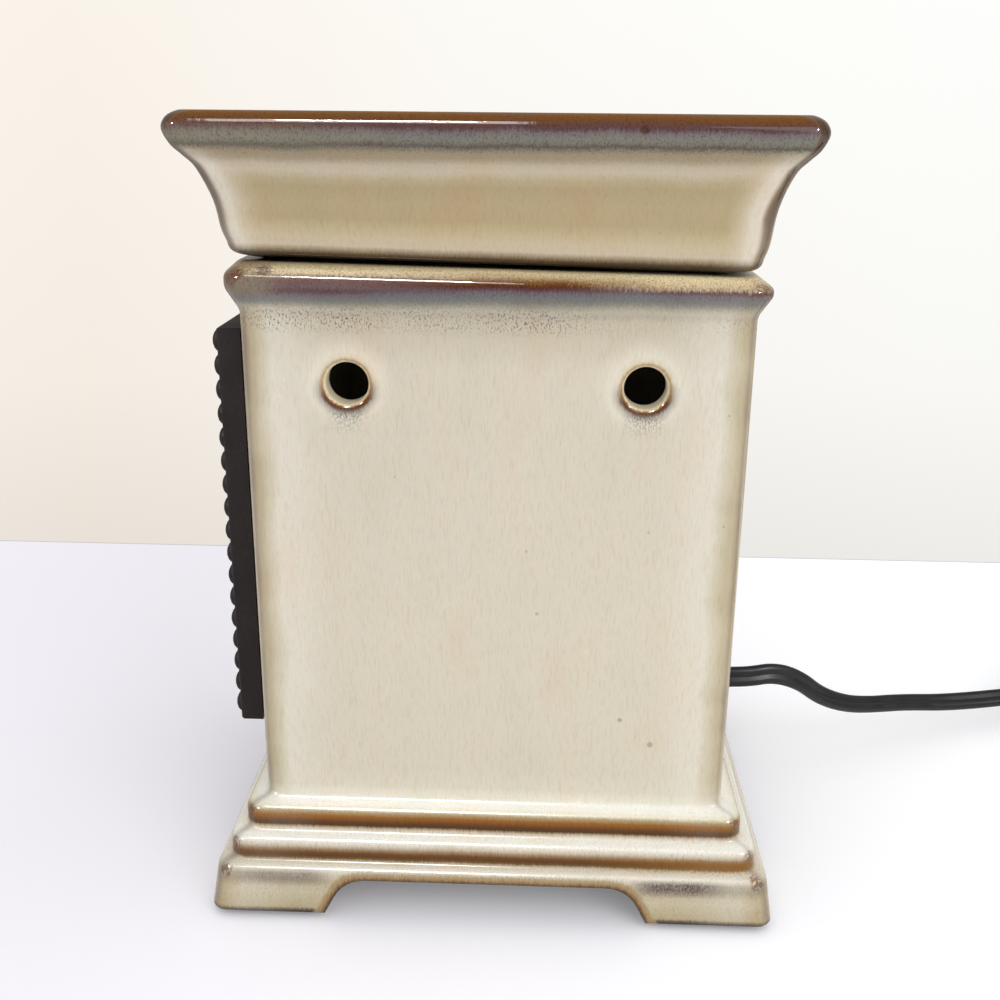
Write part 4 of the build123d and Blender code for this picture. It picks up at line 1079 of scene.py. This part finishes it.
vent_halo = [
    (4.4, "F1E8D0", 1.0), (4.7, "E9DDBF", 1.0), (5.0, "C4A878", 1.0), (5.2, "A98C5E", 0.9),
    (5.45, "C9B68F", 0.7), (5.9, "E2D8C0", 0.6), (7.0, "ECE5D4", 0.6), (11.0, "E0D8C5", 0.0)]
vent_drop = [
    (4.75, "B8925A", 0.0), (5.0, "8A5A24", 1.0), (5.4, "5E2F1C", 1.0), (5.8, "63443F", 0.9),
    (6.3, "8A857C", 0.6), (7.8, "B0AA9C", 0.0)]


def vent_glaze(glaze):
    """Cream walls, a gold lip that turns brown-red below, a pale halo and a grey run under each vent."""
    tree = glaze.tree
    side = add(tree, "ShaderNodeMath", {0: glaze.y}, operation="ABSOLUTE")
    off_side = add(tree, "ShaderNodeMath", {0: side, 1: VENT_SIDE}, operation="SUBTRACT")
    off_height = add(tree, "ShaderNodeMath", {0: glaze.z, 1: VENT_HEIGHT}, operation="SUBTRACT")
    flat = add(tree, "ShaderNodeCombineXYZ", {"X": off_side, "Y": off_height})
    radius = add(tree, "ShaderNodeVectorMath", {0: flat}, operation="LENGTH").outputs["Value"]
    radius = frayed(glaze, radius, 0.7)
    coat_bands(glaze, radius, vent_halo)
    below = add(tree, "ShaderNodeMapRange", {"Value": off_height, "From Min": 1.5, "From Max": -3.0})
    coat_bands(glaze, radius, vent_drop, below)
    aside = add(tree, "ShaderNodeMath", {0: off_side}, operation="ABSOLUTE")
    narrow = add(tree, "ShaderNodeMapRange", {"Value": aside, "From Min": 5.0, "From Max": 1.5})
    run = zone(glaze, off_height, (-11.0, -7.5, -5.6, -4.6), ("000000", "CCCCCC", "FFFFFF", "000000"))
    coat(glaze, linear("6E6C65"), narrow, run, grains_of(glaze, 0.38, 0.42, 0.64))


# %% [markdown]
# ### Feet and arches
# The glaze is shaded plum high on each foot, where it hung before it ran. Round each arch the clay's edge
# shows gold through it. The arch's own slope and top give the distance from that edge.

# %% Glaze on the feet

FOOT_SHADE_ASIDE = 2.6
FOOT_SHADE_HIGH = (8.2, 10.2, 11.4, 12.5)
FOOT_SHADE_ALONG = (34.0, 40.0, 50.0, 57.0)

arch_gold = [
    (-1.0, "3A2C1A", 1.0), (0.4, "4E3A22", 1.0), (0.8, "7E5E34", 1.0), (1.3, "A28358", 0.95),
    (2.1, "AD956D", 0.8), (2.9, "CDC1A6", 0.0)]


def foot_glaze(glaze):
    """Plum shadows high on the feet, and gold where the glaze thins at the arches."""
    tree = glaze.tree
    side, back, shade_side = [
        add(tree, "ShaderNodeMath", {0: add(tree, "ShaderNodeMath", {0: value, 1: shift}, operation="ADD")},
            operation="ABSOLUTE")
        for value, shift in ((glaze.x, 0.0), (glaze.y, -ARCH_ASIDE), (glaze.y, FOOT_SHADE_ASIDE))]
    high = zone(glaze, glaze.z, FOOT_SHADE_HIGH)
    along = add(tree, "ShaderNodeMath", {0: side, 1: shade_side}, operation="MINIMUM")
    shaded = add(tree, "ShaderNodeMapRange", {"Value": along, "From Min": 33.0, "From Max": 39.0,
                                              "To Max": 0.45})
    coat(glaze, linear("85796A"), high, shaded)
    # The plum itself: grainy, streaked and stronger to the right
    middle = zone(glaze, along, FOOT_SHADE_ALONG)
    rightwards = add(tree, "ShaderNodeMapRange", {"Value": glaze.y, "From Min": -48.0, "From Max": 43.0,
                                                  "To Min": 0.45, "To Max": 1.0})
    streaks = add(tree, "ShaderNodeMapRange", {"Value": glaze.hairs, "From Min": 0.30, "From Max": 0.62,
                                               "To Min": 0.78, "To Max": 1.0})
    coat(glaze, linear("523E42"), high, middle, rightwards, grains_of(glaze, 0.34, 0.16, 0.60), streaks)
    # The distance from the arch's edge: past its slope or over its top, rounded where they meet
    nearer = add(tree, "ShaderNodeMath", {0: side, 1: back}, operation="MINIMUM")
    slope = math.atan2(ARCH_SPREAD, ARCH_TOP)
    rise = add(tree, "ShaderNodeMath", {0: glaze.z, 1: ARCH_TOP}, operation="SUBTRACT")
    out = add(tree, "ShaderNodeMath", {0: nearer, 1: ARCH_HALF}, operation="SUBTRACT")
    past = add(tree, "ShaderNodeMath", {0: rise, 1: math.sin(slope)}, operation="MULTIPLY")
    past = add(tree, "ShaderNodeMath", {0: out, 1: math.cos(slope), 2: past}, operation="MULTIPLY_ADD")
    gap = add(tree, "ShaderNodeMath", {0: past, 1: rise, 2: ARCH_ROUND - ARCH_LIP}, operation="SMOOTH_MAX")
    coat_bands(glaze, frayed(glaze, gap, 1.2), arch_gold)


# %% [markdown]
# ### Rim and corners
# No two spots of a reactive rim are alike. One end of the housing's rim stayed cream, the middle of the
# other half went plum, and the very end burnt dull. Every ledge also breaks to brown at its corners. Each
# of these is one more coat that fades in along the side.

# %% Glaze on the rim

# Each: where it fades in along the side and how strongly, then its bands by height
rim_coats = [
    (15.0, 36.0, 0.94, [(144.6, "9C8A74", 0.0), (145.3, "C0AC90", 0.85), (146.2, "EFD9AD", 1.0),
                        (147.4, "FFEFC2", 1.0), (148.6, "F8E6B8", 0.8), (149.5, "D0BE98", 0.3)]),
    (-6.0, -28.0, 0.9, [(144.0, "6E676A", 0.0), (144.8, "6E6166", 0.9), (146.1, "785A5F", 0.9),
                        (146.8, "7E6062", 0.8), (147.5, "A08E7E", 0.0)]),
    (-43.5, -47.5, 0.85, [(142.6, "A2957E", 0.0), (143.6, "897D6A", 0.9), (146.5, "8F826D", 0.9),
                          (148.6, "9A7E62", 0.7), (149.5, "8A6C50", 0.3)])]
ledge_coat = (22.0, 50.0, 0.6, [(13.2, "9A6816", 0.0), (13.9, "9A6816", 1.0), (15.9, "9A6816", 1.0),
                                (16.5, "9A6816", 0.0)])
dish_rim_coat = (-18.0, -40.0, 0.9, [(171.4, "8F846C", 0.0), (172.6, "7A7361", 0.5),
                                     (173.6, "8B8673", 0.8), (175.0, "857D6D", 0.8),
                                     (176.0, "7E6C62", 0.5), (177.0, "8A5C2C", 0.0)])
LEVEL_FRAY = 2.2
SIDE_FRAY = 9.0


def side_coat(glaze, start, full, most, bands, side):
    """Bands by height that fade in along the side."""
    share = add(glaze.tree, "ShaderNodeMapRange", {"Value": side, "From Min": start, "From Max": full,
                                                   "To Max": most})
    coat_bands(glaze, frayed(glaze, glaze.z, LEVEL_FRAY), bands, share)


def speck_row(glaze):
    """A row of grey grains under the rim, thinner to one side."""
    row = zone(glaze, glaze.z, (134.5, 137.0, 139.6, 141.5), ("000000", "FFFFFF", "FFFFFF", "333333"))
    patchy = add(glaze.tree, "ShaderNodeMapRange", {"Value": glaze.waves, "From Min": 0.40,
                                                    "From Max": 0.62, "To Min": 0.4, "To Max": 1.0})
    thinner = add(glaze.tree, "ShaderNodeMapRange", {"Value": glaze.y, "From Min": 5.0, "From Max": 30.0,
                                                     "To Min": 0.85, "To Max": 0.3})
    coat(glaze, linear("5F605C"), row, patchy, thinner, grains_of(glaze, 0.36, 0.53, 0.63))


# %% Spots at the corners

# Each: a corner's place in mm, the spot's radius and its colour
corner_spots = [
    (63.6, 61.6, 12.0, 1.7, "5C3428"), (60.4, 59.8, 17.3, 1.6, "5F3420"),
    (57.2, 56.6, 23.9, 1.6, "5F3420"), (54.8, 54.0, 147.4, 2.6, "6E4630")]
burnt_spots = [
    (55.6, -52.2, 147.6, 1.5, "70432A"), (55.2, -46.6, 148.2, 1.5, "6A4634"),
    (55.6, 53.0, 147.4, 1.4, "7E5230"), (62.6, 60.6, 12.9, 1.3, "8E5626")]
body_flecks = [
    (53.6, 28.8, 47.8, 0.55, "7A756C"), (53.6, 35.9, 41.7, 0.7, "8A847A"),
    (53.6, 9.5, 73.5, 0.4, "A98B5F")]
RAGGED = 1.8


def ragged_spots(glaze, place, spots, strength):
    """Spots whose edges the grains push about."""
    grains = grains_of(glaze, 0.6, 0.30, 0.70)
    push = add(glaze.tree, "ShaderNodeMath", {0: grains, 1: RAGGED}, operation="MULTIPLY")
    ragged = add(glaze.tree, "ShaderNodeVectorMath", {0: push, 1: place}, operation="ADD")
    for *centre, radius, tone in spots:
        fleck(glaze, [at + RAGGED / 2 for at in centre], radius, tone, strength, ragged)


# %% Glaze the housing and the dish


def housing_glaze():
    """The housing's glaze, coat after coat, from the bands to the glass skin."""
    glaze = banded_glaze("reactive_stoneware_glaze_housing", housing_outline, housing_bands, body_bands,
                         housing_pool, housing_edge, CALM_ON_HOUSING, ran=1.9)
    speck_row(glaze)
    side = frayed(glaze, glaze.y, SIDE_FRAY)
    for rim_coat in rim_coats:
        side_coat(glaze, *rim_coat, side)
    vent_glaze(glaze)
    foot_glaze(glaze)
    for *centre, radius, tone in body_flecks:
        fleck(glaze, centre, radius, tone, 0.55)
    folded = add(glaze.tree, "ShaderNodeVectorMath", {0: glaze.mm}, operation="ABSOLUTE")
    ragged_spots(glaze, folded, corner_spots, 0.62)
    side_coat(glaze, *ledge_coat, side)
    ragged_spots(glaze, glaze.mm, burnt_spots, 0.7)
    mottle(glaze, 139.0, 146.0)
    glassy(glaze)
    return glaze.material


def dish_glaze():
    """The same glaze, with pale pools at the corners, an olive end and one iron spot on the rim."""
    glaze = banded_glaze("reactive_stoneware_glaze_dish", dish_outline, dish_bands, dish_inside_bands,
                         dish_pool, dish_edge, CALM_ON_DISH, DISH_OFF_CENTRE, inside_edge=0.0)
    side_coat(glaze, *dish_rim_coat, glaze.y)
    fleck(glaze, (63.2, 28.4, 175.7), 0.9, "4E3019", 0.85)
    mottle(glaze, 169.0, 173.0)
    glassy(glaze)
    return glaze.material


dress(housing, housing_glaze(), "housing")
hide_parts("ceramic_housing")
dress(dish, dish_glaze(), "dish")
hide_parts("wax_dish")
print("glaze nodes", [len(piece.active_material.node_tree.nodes) for piece in (housing, dish)])

# %% [markdown]
# ## Plaque frame
# The frame is cast resin: a moulding with a soft outer edge and a bevel round its window, and a row of
# domed beads. Each side could be its own strip with mitred ends, but a cast frame has no joints, so one
# profile runs round all four sides. The photograph shows the beads edge on, and their pitch is from there.

# %% Plaque frame

PLAQUE_WIDE = 80.0
PLAQUE_TALL = 95.5
BEAD_R = 2.6
BEAD_HIGH = 1.5
BEAD_SUNK = 0.4
BEAD_INSET = 3.3
BEAD_PITCH = 5.55
BEAD_SIDES = 16
BEAD_RINGS = 4
BEAD_TO_MIDDLE = 4.4
PLAQUE_FACE = 61.8

frame_profile = rounded([(0, 56.4, 0), (0, PLAQUE_FACE, 0.8), (9.4, PLAQUE_FACE, 0.5), (10.6, 60.6, 0.4),
                         (10.6, 59.6, 0), (9.0, 59.6, 0), (9.0, 56.4, 0)], 3)


def frame_ring(inset, depth):
    """One line of the moulding, round all four sides."""
    wide, tall = PLAQUE_WIDE / 2 - inset, PLAQUE_TALL / 2 - inset
    return [(x * wide, -depth, PLAQUE_MIDDLE + z * tall) for x, z in ((-1, -1), (1, -1), (1, 1), (-1, 1))]


def add_bead(mesh, x, z):
    """One domed bead with its root in the frame. Its last ring stops just short of the middle."""
    rings = [round_ring((x, -PLAQUE_FACE + BEAD_SUNK, PLAQUE_MIDDLE + z), BEAD_R, "Y", BEAD_SIDES)]
    for step in range(BEAD_RINGS):
        angle = math.pi / 2 * step / BEAD_TO_MIDDLE
        rings.append(round_ring((x, -PLAQUE_FACE - BEAD_HIGH * math.sin(angle), PLAQUE_MIDDLE + z),
                                BEAD_R * math.cos(angle), "Y", BEAD_SIDES))
    tunnel(mesh, rings)


def spaced(length, pitch):
    """Even places along a length, close to a pitch."""
    count = round(length / pitch)
    return [length * (step / count - 0.5) for step in range(count + 1)]


mesh = bmesh.new()
rings = [[mesh.verts.new(Vector(place) * MM) for place in frame_ring(*point)] for point in frame_profile]
for ring, after in zip(rings, rings[1:] + rings[:1]):
    for side in range(4):
        mesh.faces.new((ring[side], ring[side - 1], after[side - 1], after[side]))
half_wide = PLAQUE_WIDE / 2 - BEAD_INSET
half_tall = PLAQUE_TALL / 2 - BEAD_INSET
bead_places = [(x, z) for x in spaced(2 * half_wide, BEAD_PITCH) for z in (-half_tall, half_tall)]
bead_places += [(x, z) for z in spaced(2 * half_tall, BEAD_PITCH)[1:-1] for x in (-half_wide, half_wide)]
for x, z in bead_places:
    add_bead(mesh, x, z)
beaded_frame = finished("beaded_frame", mesh, 50)
print("beads", len(bead_places))

# %% [markdown]
# The frame's resin is matt charcoal. A metal or glossy plastic would mirror the room along the beads, and
# the photograph shows hardly any light on them, so its gloss is low.

# %% Resin

# Resin poured into a soft mould comes out dull and a little uneven, darker in its pores
resin = moulded("cast_resin_charcoal", "1A100E", "261A17", 0.58, 0.7, 0.06)
fill(resin.node_tree.nodes["Principled BSDF"], {"Specular IOR Level": 0.23})
dress(beaded_frame, resin, "plaque")
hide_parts("plaque_frame")
print("resin on", beaded_frame.name)

# %% [markdown]
# ## The other pieces
# Their CAD shapes are right as they are, so they keep them and only get their finishes. They could all be
# painted in flat colours, but bought parts show how they were made. Plating is even and bright, brass is
# stamped and a little brushed, phenolic and vinyl are moulded and dull, and a bulb is blown glass.

# %% Glass and how a CAD piece is painted


def paint(material, *names):
    """Gives CAD pieces their material."""
    for name in names:
        for held in node[name].material_slots:
            held.material = material


def blown_glass():
    """Clear glass. Blowing it leaves it brilliant, with slow faint waves."""
    material = moulded("blown_glass", "FFFFFF", "F4F8F6", 0.02, 6.0, 0.02)
    fill(material.node_tree.nodes["Principled BSDF"], {"Transmission Weight": 1.0, "IOR": 1.45})
    return material


# %% Rubber, board and plating

# Moulded rubber is dead matt and goes grey where it is rubbed
pads = [name for name in node if name.startswith("foot_pad")]
paint(moulded("soft_rubber", "1D1B1A", "2B2826", 0.75, 0.4, 0.03), *pads)
paint(resin, "plaque_panel")
# Paint sinks into pressed board, so its fibres show as faint streaks
paint(moulded("painted_hardboard", "150F0B", "2A1F1A", 0.7, 0.5, 0.06, streak=(1, 1, 0.2)),
      "plaque_backing")
# Nickel plating is smooth and mirrors the room, a little warm
paint(moulded("nickel_plate", "B9B7B0", "CAC8C2", 0.2, 0.5, 0.004, metallic=1),
      "plaque_magnets", "housing_magnets")
# Zinc plating on pressed steel is greyer and softer, with cloudy patches
paint(moulded("zinc_plated_steel", "A5AAAE", "C3C6C5", 0.34, 0.9, 0.01, metallic=1),
      "lamp_strap", "bottom_cover", "threaded_tube", "terminal_screws", "switch_screws")
# Stamping draws thin lines along brass and leaves its edges bright
paint(moulded("stamped_brass", "B28A42", "D2AC64", 0.26, 0.6, 0.01, metallic=1, streak=(1, 1, 0.3)),
      "tube_nut", "holder_screw_shell", "holder_contact", "holder_terminals", "bulb_cap",
      "switch_contacts", "plug_blades")

# %% Holder and bulb

# Phenolic is pressed hot in a steel mould: brown-black with a thin shine
paint(moulded("moulded_phenolic", "1E1917", "2D2522", 0.36, 0.6, 0.02, coat=0.2), "lamp_holder")
paint(blown_glass(), "bulb_globe", "bulb_stem")
# Pressed glass is denser and glossier than plastic
paint(moulded("pressed_black_glass", "0E0E11", "1B1B20", 0.12, 1.0, 0.01, coat=0.4), "bulb_insulator")
# Solder sets as a dull wrinkled drop
paint(moulded("tin_solder", "A6A8A9", "C6C7C7", 0.4, 0.8, 0.03, metallic=1), "bulb_tip")
# Drawn tungsten is grey and nearly matt
paint(moulded("tungsten_wire", "5A5854", "797670", 0.45, 0.2, 0.004, metallic=1), "bulb_filament")

# %% Plug, switch and leads

# Soft PVC from a mould is matt, with a fine leathery skin
paint(moulded("moulded_pvc_black", "111214", "1F2022", 0.46, 0.8, 0.05), "cord_bushing", "plug_body")
# Vinyl drawn over a single wire is smooth and slightly yellow
paint(moulded("lead_vinyl_white", "D3CFC3", "E2DFD6", 0.5, 0.5, 0.02), "lead_left", "lead_right")
# Vinyl pressed round a thin wire, a little greyer where the tie is bent
paint(moulded("twist_tie_vinyl", "19191B", "2B2B2D", 0.5, 0.4, 0.03), "coil_tie")
# ABS takes the fine spark grain of its mould, so hard plastic still looks satin
paint(moulded("moulded_abs_black", "141517", "242528", 0.4, 0.5, 0.04),
      "switch_upper_shell", "switch_lower_shell", "switch_wheel")
print("finishes", len(bpy.data.materials))
